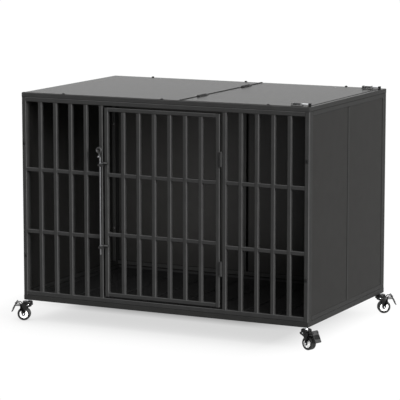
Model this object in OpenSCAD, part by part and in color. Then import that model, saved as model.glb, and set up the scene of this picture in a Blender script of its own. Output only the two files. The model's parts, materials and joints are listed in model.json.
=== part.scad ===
/* [Crate] */
// Outside length of the crate body, left to right
crate_length = 1200; // [1100:10:1400]
// Outside width of the crate body, front to back
crate_width = 752; // [640:2:900]
// Height of the crate body above the casters
body_height = 808; // [780:2:1000]

/* [Tubes and sheets] */
// Side of the square tubes that frame the panels and the top
frame_tube = 17; // [15:0.5:20]
// Side of the square tubes of the bars, the mid rails, the door and the lid
bar_tube = 15; // [12:0.5:16]
// Width of the base frame tubes
base_tube_width = 30; // [28:1:36]
// Height of the base frame tubes
base_tube_height = 20; // [18:1:26]
// Wall thickness of every tube
tube_wall = 1.2; // [0.8:0.1:1.8]
// Outside corner radius of every tube
tube_corner = 2; // [1:0.25:2.5]
// Thickness of the wall, roof and lid sheets
sheet_thickness = 1.2; // [0.8:0.1:1.6]
// Depth of the wall sheets behind the outside faces of their tubes
sheet_recess = 2; // [1:0.5:4]
// Gap left at every welded or seated face
seat_gap = 0.05; // [0.03:0.01:0.1]

/* [Floor] */
// Width of one floor slat
slat_width = 25; // [15:1:35]
// Height of one floor slat
slat_height = 10; // [8:0.5:12]
// Distance from one slat to the next
slat_pitch = 114; // [90:1:120]
// Largest number of floor slats, as many as fit between the side tubes
slat_count = 9; // [5:1:9]
// Clearance between the floor tray and the base frame
tray_clearance = 1.5; // [0.5:0.25:4]

/* [Front grille] */
// Number of bars beside the door, on each side
bay_bar_count = 4; // [2:1:5]
// Gap between the last of these bars and the corner post
bay_end_gap = 54; // [40:0.5:60]
// Underside of the lower mid rails beside the door, above the body's underside
bay_lower_rail = 264.5; // [200:0.5:300]
// Underside of the upper mid rails beside the door
bay_upper_rail = 505; // [450:0.5:540]

/* [Door] */
// Width of the doorway with both posts at the same distance from the door
doorway_width = 506; // [460:2:600]
// Gap between the door and the post on its hinge side
door_side_gap = 12; // [11:0.5:14]
// How much closer to the door the post on its latch side stands
latch_post_shift = 4; // [0:0.5:6]
// Gap above and below the door
door_end_gap = 7; // [6:0.5:14]
// Number of bars in the door
door_bar_count = 6; // [4:1:6]
// Distance from one door bar to the next
door_bar_pitch = 65; // [50:0.5:70]
// Underside of the door's lower mid rail, above the body's underside
door_lower_rail = 276.5; // [220:0.5:320]
// Underside of the door's upper mid rail
door_upper_rail = 504; // [440:0.5:540]
// Middle of the lower door hinge
door_low_hinge = 189; // [120:1:230]
// Middle of the upper door hinge
door_high_hinge = 598; // [560:1:680]
// Length of a door hinge barrel
door_barrel_length = 53; // [40:1:70]
// Diameter of the door hinge pins
door_pin_d = 6; // [4:0.5:7]
// Distance of the door hinge axis in front of the door face
door_axis_forward = 1; // [0.5:0.5:3]

/* [Door latch] */
// Diameter of the upright latch rod
latch_rod_d = 6; // [5:0.5:10]
// Diameter of the two latch prongs
latch_prong_d = 5; // [4:0.5:7]
// Distance of the latch rod's axis in front of the door face
latch_stand_off = 9; // [7:0.5:12]
// Travel of the latch from open to locked
latch_travel = 8; // [6:0.5:11]
// Lower end of the latch rod, above the body's underside
latch_rod_foot = 206; // [150:1:210]
// Upper end of the latch rod
latch_rod_head = 582; // [567:1:640]
// Height of the lower latch prong
latch_low_prong = 240; // [225:1:260]
// Height of the upper latch prong
latch_high_prong = 556; // [530:1:560]
// Space between an open prong and its strike
latch_strike_gap = 2; // [1:0.5:4]
// Forward reach of the latch handle
latch_handle_reach = 13; // [10:0.5:20]
// Diameter of the latch knob
latch_knob_d = 25; // [18:0.5:30]
// Thickness of the latch knob
latch_knob_t = 13; // [9:0.5:16]
// Length of a strike sleeve on the door
strike_length = 18; // [14:0.5:22]

/* [Roof and lid] */
// Place of the seam between the roof sheet and the lid, right of the middle
lid_seam = 80; // [0:1:150]
// Width of the seam
lid_seam_gap = 1.5; // [0.6:0.1:2]
// Clearance around the lid frame in its opening
lid_clearance = 2; // [1.5:0.25:4]
// Overlap of the roof sheet and the lid on the top rails
sheet_overlap = 3; // [2:0.25:4]
// Distance between the two lid hinges
lid_hinge_spread = 390; // [250:5:500]
// Length of a lid hinge
lid_hinge_length = 70; // [50:1:90]
// Width of a lid hinge leaf, with half of the barrel
lid_leaf_width = 10; // [8:1:36]
// Thickness of a lid hinge leaf
lid_leaf_t = 2.5; // [1.5:0.25:3]
// Diameter of a lid hinge barrel
lid_barrel_d = 6; // [5.5:0.5:12]
// Diameter of the lid hinge pins
lid_pin_d = 3; // [2:0.5:4.5]

/* [Lid bolts] */
// Distance between the two lid bolts
lid_bolt_spread = 680; // [500:5:690]
// Diameter of a lid bolt
lid_bolt_d = 6; // [5:0.5:8]
// Travel of a lid bolt from open to locked
lid_bolt_travel = 15; // [11:0.5:17]
// Length of a lid bolt's base plate
lid_plate_length = 41; // [38:1:60]
// Width of a lid bolt's base plate
lid_plate_width = 24; // [20:1:34]
// Length of a bolt guide or keeper along the bolt
bolt_guide_length = 6; // [5:0.5:8]

/* [Fasteners] */
// Diameter of the corner bolts
corner_bolt_d = 6; // [4:0.5:8]
// Diameter of a corner bolt's head
corner_head_d = 12; // [10:0.5:15]
// Height of the lower corner bolts, above the body's underside
corner_low_bolt = 175; // [100:1:240]
// Height of the upper corner bolts
corner_high_bolt = 612; // [540:1:700]
// Diameter of the roof bolts
roof_bolt_d = 5; // [4:0.5:6]
// Diameter of a roof bolt's head
roof_head_d = 10; // [7:0.5:11]
// Distance from one roof bolt to the next
roof_bolt_pitch = 427; // [380:1:480]
// Shift of the outer roof bolts to the right
roof_bolt_shift = 7; // [-15:1:15]
// Distance of the roof bolts from the outside edge
roof_bolt_inset = 7; // [6:0.25:8]

/* [Casters] */
// Height of a caster, from the ground to the body's underside
caster_height = 82; // [80:1:95]
// Distance of a caster's stem from the outside faces of the body
stem_inset = 10; // [9:0.5:14]
// Diameter of a caster's stem
stem_d = 8; // [6:0.5:10]
// Diameter of a wheel
wheel_d = 51; // [40:1:52]
// Width of a wheel
wheel_width = 25; // [16:0.5:26]
// Diameter of a wheel's hub
hub_d = 33; // [26:0.5:35]
// Diameter of a wheel's axle
axle_d = 6; // [4:0.5:8]
// Distance of the axle behind the stem
caster_trail = 14; // [12:0.5:20]
// Diameter of the swivel head
swivel_d = 40; // [32:0.5:42]
// Heading of the front left caster, from right towards the back
front_left_heading = 200; // [0:1:360]
// Heading of the front right caster
front_right_heading = -20; // [-180:1:180]
// Heading of the rear left caster
rear_left_heading = 164; // [0:1:360]
// Heading of the rear right caster
rear_right_heading = 32; // [0:1:360]

/* [Hidden] */
$fn = 48;

// Finishes
charcoal = [0.2, 0.2, 0.21];
wall_grey = [0.24, 0.235, 0.23];
tray_black = [0.1, 0.1, 0.1];
chrome = [0.82, 0.83, 0.85];
dark_steel = [0.16, 0.16, 0.16];
grip_black = [0.06, 0.06, 0.06];
hub_white = [0.9, 0.9, 0.88];

// Running clearance of pins and shafts in their bores, on the radius
running_fit = 0.05;
// Clearance of the fasteners in their holes, on the radius
hole_clearance = 0.2;
// Clearance between the moving parts and what they pass
moving_gap = 0.3;
// Extra length of a cutting shape past the faces that it cuts
cut_past = 1;

// Main planes of the body
half_length = crate_length / 2;
half_width = crate_width / 2;
front_y = -half_width;
body_z = caster_height;
panel_z = body_z + base_tube_height;
top_z = body_z + body_height;
panel_top_z = top_z - frame_tube;
panel_height = panel_top_z - panel_z;
inner_x = half_length - frame_tube;
inner_y = half_width - frame_tube;
side_y = inner_y - frame_tube;
sill_z = panel_z + frame_tube;
head_z = panel_top_z - frame_tube;
pane_height = head_z - sill_z;

// Bays beside the door
right_bay_start = doorway_width / 2 + bar_tube;
left_bay_start = right_bay_start - latch_post_shift;

// Door leaf
door_half = doorway_width / 2 - door_side_gap;
door_inner = door_half - bar_tube;
door_z = sill_z + door_end_gap;
door_top_z = head_z - door_end_gap;
door_bars_z = door_z + bar_tube;
door_bars_height = door_top_z - door_z - 2 * bar_tube;
door_bar_x = [for (i = [0 : door_bar_count - 1])
  (i - (door_bar_count - 1) / 2) * door_bar_pitch - bar_tube / 2];
door_gap_from = concat([-door_inner], [for (x = door_bar_x) x + bar_tube]);
door_gap_to = concat(door_bar_x, [door_inner]);

// Door hinges
door_axis_x = doorway_width / 2 - door_side_gap / 2;
door_axis_y = front_y - door_axis_forward;
knuckle_clearance = 0.5;
door_knuckle_r = door_side_gap / 2 - knuckle_clearance;
knuckle_weld_depth = 4;
door_hinge_levels = [body_z + door_low_hinge, body_z + door_high_hinge];
pin_cap_t = 2;
pin_cap_inset = 1;

// Door latch, shown open
strike_inset = 1;
strike_x = -door_half + strike_inset;
latch_tip_x = strike_x - latch_strike_gap;
latch_y = front_y - latch_stand_off;
guide_wall = 1.3;
guide_door_gap = 1.2;
guide_edge_x = -door_half - guide_door_gap;
latch_slot_r = latch_rod_d / 2 + hole_clearance;
latch_x = guide_edge_x - guide_wall - latch_slot_r - latch_travel;
guide_back_wall = 5;
guide_height = 8;
latch_levels = [body_z + latch_low_prong, body_z + latch_high_prong];
latch_head_z = body_z + latch_rod_head;
strike_wall = 1.7;
strike_bore_r = latch_prong_d / 2 + moving_gap;
strike_r = strike_bore_r + strike_wall;
handle_y = latch_y - latch_handle_reach;
handle_ball_swell = 1.5;
handle_ball_r = latch_rod_d / 2 + handle_ball_swell;
knob_neck_r = latch_rod_d / 2;
knob_neck_y = latch_y - latch_handle_reach / 2;
knob_neck_length = 9;
knob_rim = 5.5;
knob_dish_d = latch_knob_d - 2 * knob_rim;
knob_dish_depth = 3;
knob_round = 3;

// Roof and lid
roof_top_z = top_z + seat_gap + sheet_thickness;
sheet_edge_y = inner_y + sheet_overlap;
lid_x = lid_seam + lid_clearance;
lid_end_x = inner_x - lid_clearance;
lid_frame_length = lid_end_x - lid_x;
lid_half_width = inner_y - lid_clearance;
lid_sheet_x = lid_seam + lid_seam_gap / 2;
lid_end_gap = 1;
lid_sheet_end_x = inner_x - lid_end_gap;
lid_rest_gap = 0.15;
lid_sheet_z = top_z + lid_rest_gap;
lid_top_z = lid_sheet_z + sheet_thickness;
lid_hinge_places = [-lid_hinge_spread / 2, lid_hinge_spread / 2];
lid_barrel_r = lid_barrel_d / 2;
lid_axis_z = lid_top_z + lid_barrel_r + moving_gap;
lid_web_t = 3;
lid_knuckle_gap = 0.4;
lid_knuckle = (lid_hinge_length - 2 * lid_knuckle_gap) / 3;

// Lid bolts, shown open
bolt_places = [-lid_bolt_spread / 2, lid_bolt_spread / 2];
bolt_plate_t = 1.5;
bolt_guide_clearance = 0.15;
bolt_guide_r = lid_bolt_d / 2 + bolt_guide_clearance;
bolt_guide_cheek = 4;
bolt_guide_width = lid_bolt_d + 2 * bolt_guide_cheek;
bolt_lift = 1;
bolt_axis_z = lid_top_z + bolt_plate_t + lid_bolt_d / 2 + bolt_lift;
bolt_guide_top_z = bolt_axis_z + lid_bolt_d / 2 + bolt_lift;
bolt_tip_inset = 2;
bolt_tip_x = lid_sheet_end_x - bolt_tip_inset;
bolt_overhang = 24;
bolt_plate_end_x = bolt_tip_x - bolt_overhang;
bolt_plate_x = bolt_plate_end_x - lid_plate_length;
bolt_foot_inset = 1;
bolt_foot_x = bolt_plate_x + bolt_foot_inset;
bolt_handle_r = 3;
bolt_handle_stem_r = 2;
bolt_handle_gap = 2;
bolt_handle_x = bolt_plate_x + bolt_guide_length + bolt_handle_r + bolt_handle_gap;
bolt_handle_reach = 11;
keeper_gap = 1;
keeper_x = lid_sheet_end_x + keeper_gap;

// Fasteners
corner_bolt_x = half_length - frame_tube / 2;
corner_head_t = 4;
corner_nut_t = 5;
corner_nut_d = corner_bolt_d + 5.4;
corner_bolt_tail = 1;
corner_grip = 2 * frame_tube;
corner_levels = [body_z + corner_low_bolt, body_z + corner_high_bolt];
roof_head_t = 3;
roof_bolt_length = frame_tube + frame_tube / 2;
roof_bolt_y = half_width - roof_bolt_inset;

// Floor
slat_room = crate_length - 2 * (base_tube_width + tray_clearance) - slat_width;
slats = min(slat_count, 1 + floor(slat_room / slat_pitch));
slat_run = crate_width - 2 * base_tube_width;
tray_t = 1.2;
tray_length = crate_length - 2 * (base_tube_width + tray_clearance);
tray_width = crate_width - 2 * (base_tube_width + tray_clearance);
tray_z = body_z + slat_height + seat_gap;
tray_depth = base_tube_height - slat_height - seat_gap;

// Casters, each made with its stem on the axis and its wheel behind, towards +X
stem_x = half_length - stem_inset;
stem_y = half_width - stem_inset;
casters = [
  [-stem_x, -stem_y, front_left_heading],
  [stem_x, -stem_y, front_right_heading],
  [-stem_x, stem_y, rear_left_heading],
  [stem_x, stem_y, rear_right_heading]
];
collar_height = 6;
collar_flange = 3;
collar_d = stem_d + 2 * collar_flange;
swivel_height = 11;
swivel_top_z = caster_height - collar_height;
swivel_z = swivel_top_z - swivel_height;
swivel_round = 4;
rivet_t = 2;
rivet_flange = 2.5;
rivet_d = stem_d + 2 * rivet_flange;
stem_end_gap = 3;
stem_end_z = panel_z - tube_wall - stem_end_gap;
axle_z = wheel_d / 2;
cheek_t = 2.5;
cheek_clearance = 1.8;
cheek_in = wheel_width / 2 + cheek_clearance;
cheek_out = cheek_in + cheek_t;
cheek_foot_wall = 4.7;
cheek_foot_r = axle_d / 2 + cheek_foot_wall;
cheek_nose = 7;
cheek_throat = 12;
cheek_throat_x = -6;
cheek_front_x = 1;
cheek_behind = 13;
cheek_step = 24;
cheek_slope = 14;
cheek_shift = 2;
axle_head_flange = 2;
axle_head_d = axle_d + 2 * axle_head_flange;
axle_head_t = 2.5;
hub_boss_wall = 3;
hub_boss_d = axle_d + 2 * hub_boss_wall;
hub_side_gap = 0.4;
hub_inset = 1.5;
hub_width = wheel_width - 2 * hub_inset;
tyre_rim_r = hub_d / 2 + moving_gap;
tyre_depth = wheel_d / 2 - tyre_rim_r;
tyre_round = min(4, tyre_depth / 2);
pedal_pivot_x = 1;
pedal_pivot_drop = 5.5;
pedal_pivot_z = swivel_z - pedal_pivot_drop;
pedal_pivot_r = 4;
pedal_pin_r = 2;
pedal_rivet_r = 3.5;
pedal_rivet_t = 1.8;
pedal_arm_t = 2;
pedal_side_gap = 0.5;
pedal_arm_out = cheek_in - pedal_side_gap;
pedal_arm_in = pedal_arm_out - pedal_arm_t;
pedal_reach = 8.5;
pedal_arm_end = caster_trail + wheel_d / 2 + pedal_reach;
pedal_arm_lift = 2;
pedal_arm_rise = 8;
pedal_rim = 3.2;
pedal_plate_length = 47;
pedal_plate_width = 29;
pedal_plate_t = 3;
pedal_plate_tilt = 26;
pedal_plate_ahead = 3.5;
pedal_plate_drop = 5;
pedal_plate_x = pedal_arm_end + pedal_plate_ahead;
pedal_plate_z = pedal_pivot_z - pedal_plate_drop;
pedal_pad_behind = 7;
pedal_pad_x = caster_trail + pedal_pad_behind;
pedal_pad_length = 6;
pedal_pad_rise = 1;

// Outline of a rectangle with rounded corners, from its lower left corner
module rounded_rect(w, h, r) {
  translate([r, 0]) square([w - 2 * r, h]);
  translate([0, r]) square([w, h - 2 * r]);
  for (x = [r, w - r], y = [r, h - r])
    translate([x, y]) circle(r);
}

// Section of a hollow tube
module tube_section(w, h) {
  difference() {
    rounded_rect(w, h, tube_corner);
    translate([tube_wall, tube_wall])
      rounded_rect(w - 2 * tube_wall, h - 2 * tube_wall, max(tube_corner - tube_wall, 0.3));
  }
}

// Tube that runs along Z
module upright(at, size) {
  translate(at + [0, 0, seat_gap])
    linear_extrude(size.z - 2 * seat_gap) tube_section(size.x, size.y);
}

// Tube that runs along X
module crossbar(at, size) {
  translate(at + [seat_gap, 0, 0])
    rotate([90, 0, 90])
      linear_extrude(size.x - 2 * seat_gap) tube_section(size.y, size.z);
}

// Tube that runs along Y
module sidebar(at, size) {
  translate(at + [0, size.y - seat_gap, 0])
    rotate([90, 0, 0])
      linear_extrude(size.y - 2 * seat_gap) tube_section(size.x, size.z);
}

// Tube along X with both ends mitred, its outside face on y = 0
module mitred_rail(length, w, h) {
  half = length / 2 - seat_gap;
  intersection() {
    translate([-length / 2, 0, 0])
      rotate([90, 0, 90]) linear_extrude(length) tube_section(w, h);
    linear_extrude(h)
      polygon([[-half, 0], [half, 0], [half - w, w], [w - half, w]]);
  }
}

// Low dome on a round base
module dome_head(d, h) {
  r = (h * h + d * d / 4) / (2 * h);
  intersection() {
    translate([0, 0, h - r]) sphere(r);
    cylinder(d = d, h = h);
  }
}

// Puts its children at the four upright corners, their own +Z pointing out of the front or the back
module at_corner_bolts() {
  for (x = [-corner_bolt_x, corner_bolt_x], side = [-1, 1], z = corner_levels)
    translate([x, side * half_width, z]) rotate([-90 * side, 0, 0]) children();
}

module corner_bolt_holes() {
  at_corner_bolts()
    translate([0, 0, -corner_grip - cut_past])
      cylinder(d = corner_bolt_d + 2 * hole_clearance, h = corner_grip + 2 * cut_past);
}

module at_roof_bolts() {
  for (x = [roof_bolt_shift - roof_bolt_pitch, 0, roof_bolt_shift + roof_bolt_pitch], side = [-1, 1])
    translate([x, side * roof_bolt_y, top_z]) children();
}

module roof_bolt_holes() {
  at_roof_bolts()
    translate([0, 0, -roof_bolt_length - cut_past])
      cylinder(d = roof_bolt_d + 2 * hole_clearance, h = roof_bolt_length + 2 * cut_past);
}

module stem_holes() {
  for (c = casters)
    translate([c.x, c.y, body_z - cut_past])
      cylinder(d = stem_d + 2 * hole_clearance, h = base_tube_height / 2 + cut_past);
}

// Base frame
module base_long_rail() {
  translate([0, front_y, body_z])
    mitred_rail(crate_length, base_tube_width, base_tube_height);
}

module base_short_rail() {
  translate([half_length, 0, body_z])
    rotate([0, 0, 90]) mitred_rail(crate_width, base_tube_width, base_tube_height);
}

module base_front_rail() {
  color(charcoal) difference() {
    base_long_rail();
    stem_holes();
  }
}

module base_rear_rail() {
  color(charcoal) difference() {
    mirror([0, 1, 0]) base_long_rail();
    stem_holes();
  }
}

module base_left_rail() {
  color(charcoal) difference() {
    mirror([1, 0, 0]) base_short_rail();
    stem_holes();
  }
}

module base_right_rail() {
  color(charcoal) difference() {
    base_short_rail();
    stem_holes();
  }
}

// Floor
module floor_slats() {
  color(charcoal)
    for (i = [0 : slats - 1])
      sidebar([(i - (slats - 1) / 2) * slat_pitch - slat_width / 2, -slat_run / 2, body_z],
              [slat_width, slat_run, slat_height]);
}

module floor_tray() {
  color(tray_black)
    translate([-tray_length / 2, -tray_width / 2, tray_z])
      difference() {
        cube([tray_length, tray_width, tray_depth]);
        translate([tray_t, tray_t, tray_t])
          cube([tray_length - 2 * tray_t, tray_width - 2 * tray_t, tray_depth]);
      }
}

// Front panel
module front_rail(z) {
  crossbar([-inner_x, front_y, z], [2 * inner_x, frame_tube, frame_tube]);
}

module front_bottom_rail() {
  color(charcoal) front_rail(panel_z);
}

module front_top_rail() {
  color(charcoal) difference() {
    front_rail(head_z);
    roof_bolt_holes();
  }
}

module side_grille(start) {
  gap = (inner_x - bay_end_gap - start) / bay_bar_count - bar_tube;
  step = gap + bar_tube;
  difference() {
    upright([inner_x, front_y, panel_z], [frame_tube, frame_tube, panel_height]);
    corner_bolt_holes();
  }
  for (i = [0 : bay_bar_count])
    upright([start - bar_tube + i * step, front_y, sill_z], [bar_tube, bar_tube, pane_height]);
  for (i = [0 : bay_bar_count], level = [bay_lower_rail, bay_upper_rail])
    crossbar([start + i * step, front_y, body_z + level],
             [i < bay_bar_count ? gap : bay_end_gap, bar_tube, bar_tube]);
}

module front_left_grille() {
  color(charcoal) mirror([1, 0, 0]) side_grille(left_bay_start);
}

module front_right_grille() {
  color(charcoal) side_grille(right_bay_start);
}

// Back panel
module back_panel_frame() {
  color(charcoal) difference() {
    union() {
      for (x = [-half_length, inner_x])
        upright([x, inner_y, panel_z], [frame_tube, frame_tube, panel_height]);
      for (z = [panel_z, head_z])
        crossbar([-inner_x, inner_y, z], [2 * inner_x, frame_tube, frame_tube]);
      upright([-bar_tube / 2, inner_y, sill_z], [bar_tube, frame_tube, pane_height]);
    }
    corner_bolt_holes();
    roof_bolt_holes();
  }
}

module back_panel_sheets() {
  pane = inner_x - bar_tube / 2 - 2 * seat_gap;
  color(wall_grey)
    for (x = [-inner_x + seat_gap, bar_tube / 2 + seat_gap])
      translate([x, half_width - sheet_recess - sheet_thickness, sill_z + seat_gap])
        cube([pane, sheet_thickness, pane_height - 2 * seat_gap]);
}

// Side panels
module side_frame() {
  difference() {
    union() {
      for (y = [-inner_y, side_y])
        upright([inner_x, y, panel_z], [frame_tube, frame_tube, panel_height]);
      for (z = [panel_z, head_z])
        sidebar([inner_x, -side_y, z], [frame_tube, 2 * side_y, frame_tube]);
      upright([inner_x, -bar_tube / 2, sill_z], [frame_tube, bar_tube, pane_height]);
    }
    corner_bolt_holes();
  }
}

module side_sheets() {
  pane = side_y - bar_tube / 2 - 2 * seat_gap;
  for (y = [-side_y + seat_gap, bar_tube / 2 + seat_gap])
    translate([half_length - sheet_recess - sheet_thickness, y, sill_z + seat_gap])
      cube([sheet_thickness, pane, pane_height - 2 * seat_gap]);
}

module left_panel_frame() {
  color(charcoal) mirror([1, 0, 0]) side_frame();
}

module left_panel_sheets() {
  color(wall_grey) mirror([1, 0, 0]) side_sheets();
}

module right_panel_frame() {
  color(charcoal) side_frame();
}

module right_panel_sheets() {
  color(wall_grey) side_sheets();
}

// Top frame
module top_long_rail() {
  translate([0, front_y, panel_top_z]) mitred_rail(crate_length, frame_tube, frame_tube);
}

module top_short_rail() {
  translate([half_length, 0, panel_top_z])
    rotate([0, 0, 90]) mitred_rail(crate_width, frame_tube, frame_tube);
}

module top_front_rail() {
  color(charcoal) difference() {
    top_long_rail();
    roof_bolt_holes();
  }
}

module top_rear_rail() {
  color(charcoal) difference() {
    mirror([0, 1, 0]) top_long_rail();
    roof_bolt_holes();
  }
}

module top_left_rail() {
  color(charcoal) mirror([1, 0, 0]) top_short_rail();
}

module top_right_rail() {
  color(charcoal) top_short_rail();
}

module top_mid_rail() {
  color(charcoal)
    sidebar([lid_seam - bar_tube, -inner_y, top_z - bar_tube], [bar_tube, 2 * inner_y, bar_tube]);
}

module roof_sheet() {
  left = -inner_x - sheet_overlap;
  color(wall_grey)
    translate([left, -sheet_edge_y, top_z + seat_gap])
      cube([lid_seam - lid_seam_gap / 2 - left, 2 * sheet_edge_y, sheet_thickness]);
}

// Fasteners
module corner_bolts() {
  color(dark_steel) at_corner_bolts() {
    translate([0, 0, seat_gap]) dome_head(corner_head_d, corner_head_t);
    translate([0, 0, -corner_grip - corner_nut_t - corner_bolt_tail])
      cylinder(d = corner_bolt_d, h = corner_grip + corner_nut_t + corner_bolt_tail + seat_gap);
  }
}

module corner_nuts() {
  color(dark_steel) at_corner_bolts()
    translate([0, 0, -corner_grip - corner_nut_t - seat_gap])
      difference() {
        rotate([0, 0, 30]) cylinder(d = corner_nut_d, h = corner_nut_t, $fn = 6);
        translate([0, 0, -cut_past])
          cylinder(d = corner_bolt_d + 2 * running_fit, h = corner_nut_t + 2 * cut_past);
      }
}

module roof_bolts() {
  color(dark_steel) at_roof_bolts() {
    translate([0, 0, seat_gap]) dome_head(roof_head_d, roof_head_t);
    translate([0, 0, -roof_bolt_length]) cylinder(d = roof_bolt_d, h = roof_bolt_length + seat_gap);
  }
}

// Door hinges: half a barrel welded to a post or a stile on its side, -1 to the left or 1 to the right
module door_knuckle(z, side) {
  height = door_barrel_length / 2 - moving_gap / 2;
  reach = door_side_gap / 2 - seat_gap;
  translate([door_axis_x, door_axis_y, z])
    difference() {
      union() {
        cylinder(r = door_knuckle_r, h = height);
        translate([side > 0 ? 0 : -reach, 0, 0])
          cube([reach, door_axis_forward + knuckle_weld_depth, height]);
      }
      translate([0, 0, -cut_past]) cylinder(d = door_pin_d + 2 * running_fit, h = height + 2 * cut_past);
    }
}

module post_knuckles() {
  color(charcoal)
    for (z = door_hinge_levels) door_knuckle(z - door_barrel_length / 2, 1);
}

module door_knuckles() {
  color(charcoal)
    for (z = door_hinge_levels) door_knuckle(z + moving_gap / 2, -1);
}

module hinge_pins() {
  color(dark_steel) {
    for (z = door_hinge_levels)
      translate([door_axis_x, door_axis_y, z - door_barrel_length / 2]) {
        cylinder(d = door_pin_d, h = door_barrel_length + moving_gap);
        translate([0, 0, door_barrel_length + moving_gap])
          cylinder(r = door_knuckle_r - pin_cap_inset, h = pin_cap_t);
      }
    for (y = lid_hinge_places)
      translate([lid_seam, y + lid_hinge_length / 2, lid_axis_z])
        rotate([90, 0, 0]) cylinder(d = lid_pin_d, h = lid_hinge_length);
  }
}

// Lid hinges: one knuckle of a leaf, with the web that joins it to the leaf
module leaf_knuckle(from, side, foot_z) {
  web_x = lid_barrel_r + moving_gap;
  translate([0, from + lid_knuckle, lid_axis_z])
    rotate([90, 0, 0]) cylinder(r = lid_barrel_r, h = lid_knuckle);
  translate([side > 0 ? 0 : -web_x - lid_web_t, from, foot_z])
    cube([web_x + lid_web_t, lid_knuckle, lid_leaf_t]);
  translate([side > 0 ? 0 : -lid_barrel_r, from, foot_z])
    cube([lid_barrel_r, lid_knuckle, lid_axis_z - foot_z]);
}

module hinge_leaf(y, side, foot_z, places) {
  from_x = lid_barrel_r + moving_gap;
  translate([lid_seam, y - lid_hinge_length / 2, 0])
    difference() {
      union() {
        translate([side > 0 ? from_x : -lid_leaf_width, 0, foot_z])
          cube([lid_leaf_width - from_x, lid_hinge_length, lid_leaf_t]);
        for (i = places) leaf_knuckle(i * (lid_knuckle + lid_knuckle_gap), side, foot_z);
      }
      translate([0, lid_hinge_length + cut_past, lid_axis_z])
        rotate([90, 0, 0]) cylinder(d = lid_pin_d + 2 * running_fit, h = lid_hinge_length + 2 * cut_past);
    }
}

// The leaves on the roof side share one strip along the whole seam
module roof_hinge_leaves() {
  foot_z = roof_top_z + seat_gap;
  color(charcoal) {
    for (y = lid_hinge_places) hinge_leaf(y, -1, foot_z, [0, 2]);
    translate([lid_seam - lid_leaf_width, -sheet_edge_y, foot_z])
      cube([lid_leaf_width - lid_barrel_r - moving_gap, 2 * sheet_edge_y, lid_leaf_t]);
  }
}

module lid_hinge_leaves() {
  color(charcoal)
    for (y = lid_hinge_places) hinge_leaf(y, 1, lid_top_z + seat_gap, [1]);
}

// Door
module door_frame() {
  color(charcoal) {
    for (x = [-door_half, door_inner])
      upright([x, front_y, door_z], [bar_tube, bar_tube, door_top_z - door_z]);
    for (z = [door_z, door_top_z - bar_tube])
      crossbar([-door_inner, front_y, z], [2 * door_inner, bar_tube, bar_tube]);
  }
}

module door_bars() {
  color(charcoal) {
    for (x = door_bar_x)
      upright([x, front_y, door_bars_z], [bar_tube, bar_tube, door_bars_height]);
    for (i = [0 : door_bar_count], level = [door_lower_rail, door_upper_rail])
      crossbar([door_gap_from[i], front_y, body_z + level],
               [door_gap_to[i] - door_gap_from[i], bar_tube, bar_tube]);
  }
}

module door_strikes() {
  color(charcoal)
    for (z = latch_levels)
      difference() {
        union() {
          translate([strike_x, latch_y, z - strike_r])
            cube([-door_inner - strike_x, latch_stand_off - seat_gap, 2 * strike_r]);
          translate([strike_x, latch_y, z]) rotate([0, 90, 0]) cylinder(r = strike_r, h = strike_length);
        }
        translate([strike_x - cut_past, latch_y, z])
          rotate([0, 90, 0]) cylinder(r = strike_bore_r, h = strike_length + 2 * cut_past);
      }
}

// Door latch
module latch_guides() {
  from_x = latch_x - latch_slot_r - guide_back_wall;
  depth = latch_stand_off - seat_gap + latch_slot_r + guide_wall;
  color(charcoal)
    for (z = latch_levels)
      translate([0, 0, z - latch_prong_d / 2 - moving_gap - guide_height])
        difference() {
          translate([from_x, latch_y - latch_slot_r - guide_wall, 0])
            cube([guide_edge_x - from_x, depth, guide_height]);
          for (x = [latch_x, latch_x + latch_travel])
            translate([x, latch_y, -cut_past]) cylinder(r = latch_slot_r, h = guide_height + 2 * cut_past);
          translate([latch_x, latch_y - latch_slot_r, -cut_past])
            cube([latch_travel, 2 * latch_slot_r, guide_height + 2 * cut_past]);
        }
}

module latch_rod() {
  color(chrome) {
    translate([latch_x, latch_y, body_z + latch_rod_foot])
      cylinder(d = latch_rod_d, h = latch_rod_head - latch_rod_foot);
    translate([latch_x, latch_y, latch_head_z]) sphere(d = latch_rod_d);
    translate([latch_x, latch_y, latch_head_z])
      rotate([90, 0, 0]) cylinder(d = latch_rod_d, h = latch_handle_reach);
    translate([latch_x, handle_y, latch_head_z]) sphere(handle_ball_r);
    for (z = latch_levels)
      translate([latch_x, latch_y, z])
        rotate([0, 90, 0]) cylinder(d = latch_prong_d, h = latch_tip_x - latch_x);
  }
}

module latch_knob() {
  knob_z = latch_head_z + latch_rod_d / 2 + knob_neck_length + latch_knob_d / 2;
  disc_r = latch_knob_d / 2;
  color(grip_black) difference() {
    union() {
      translate([latch_x, knob_neck_y, latch_head_z])
        cylinder(r = knob_neck_r, h = latch_rod_d / 2 + knob_neck_length + knob_round);
      translate([latch_x, knob_neck_y, knob_z])
        rotate([90, 0, 0])
          rotate_extrude()
            translate([0, -latch_knob_t / 2]) {
              square([disc_r - knob_round, latch_knob_t]);
              translate([0, knob_round]) square([disc_r, latch_knob_t - 2 * knob_round]);
              for (y = [knob_round, latch_knob_t - knob_round])
                translate([disc_r - knob_round, y]) circle(knob_round);
            }
    }
    translate([latch_x, latch_y + latch_rod_d, latch_head_z])
      rotate([90, 0, 0]) cylinder(d = latch_rod_d + 2 * seat_gap, h = latch_handle_reach + latch_rod_d * 3);
    translate([latch_x, knob_neck_y - latch_knob_t / 2 + knob_dish_depth, knob_z])
      rotate([90, 0, 0]) cylinder(d = knob_dish_d, h = knob_dish_depth + cut_past);
  }
}

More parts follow.
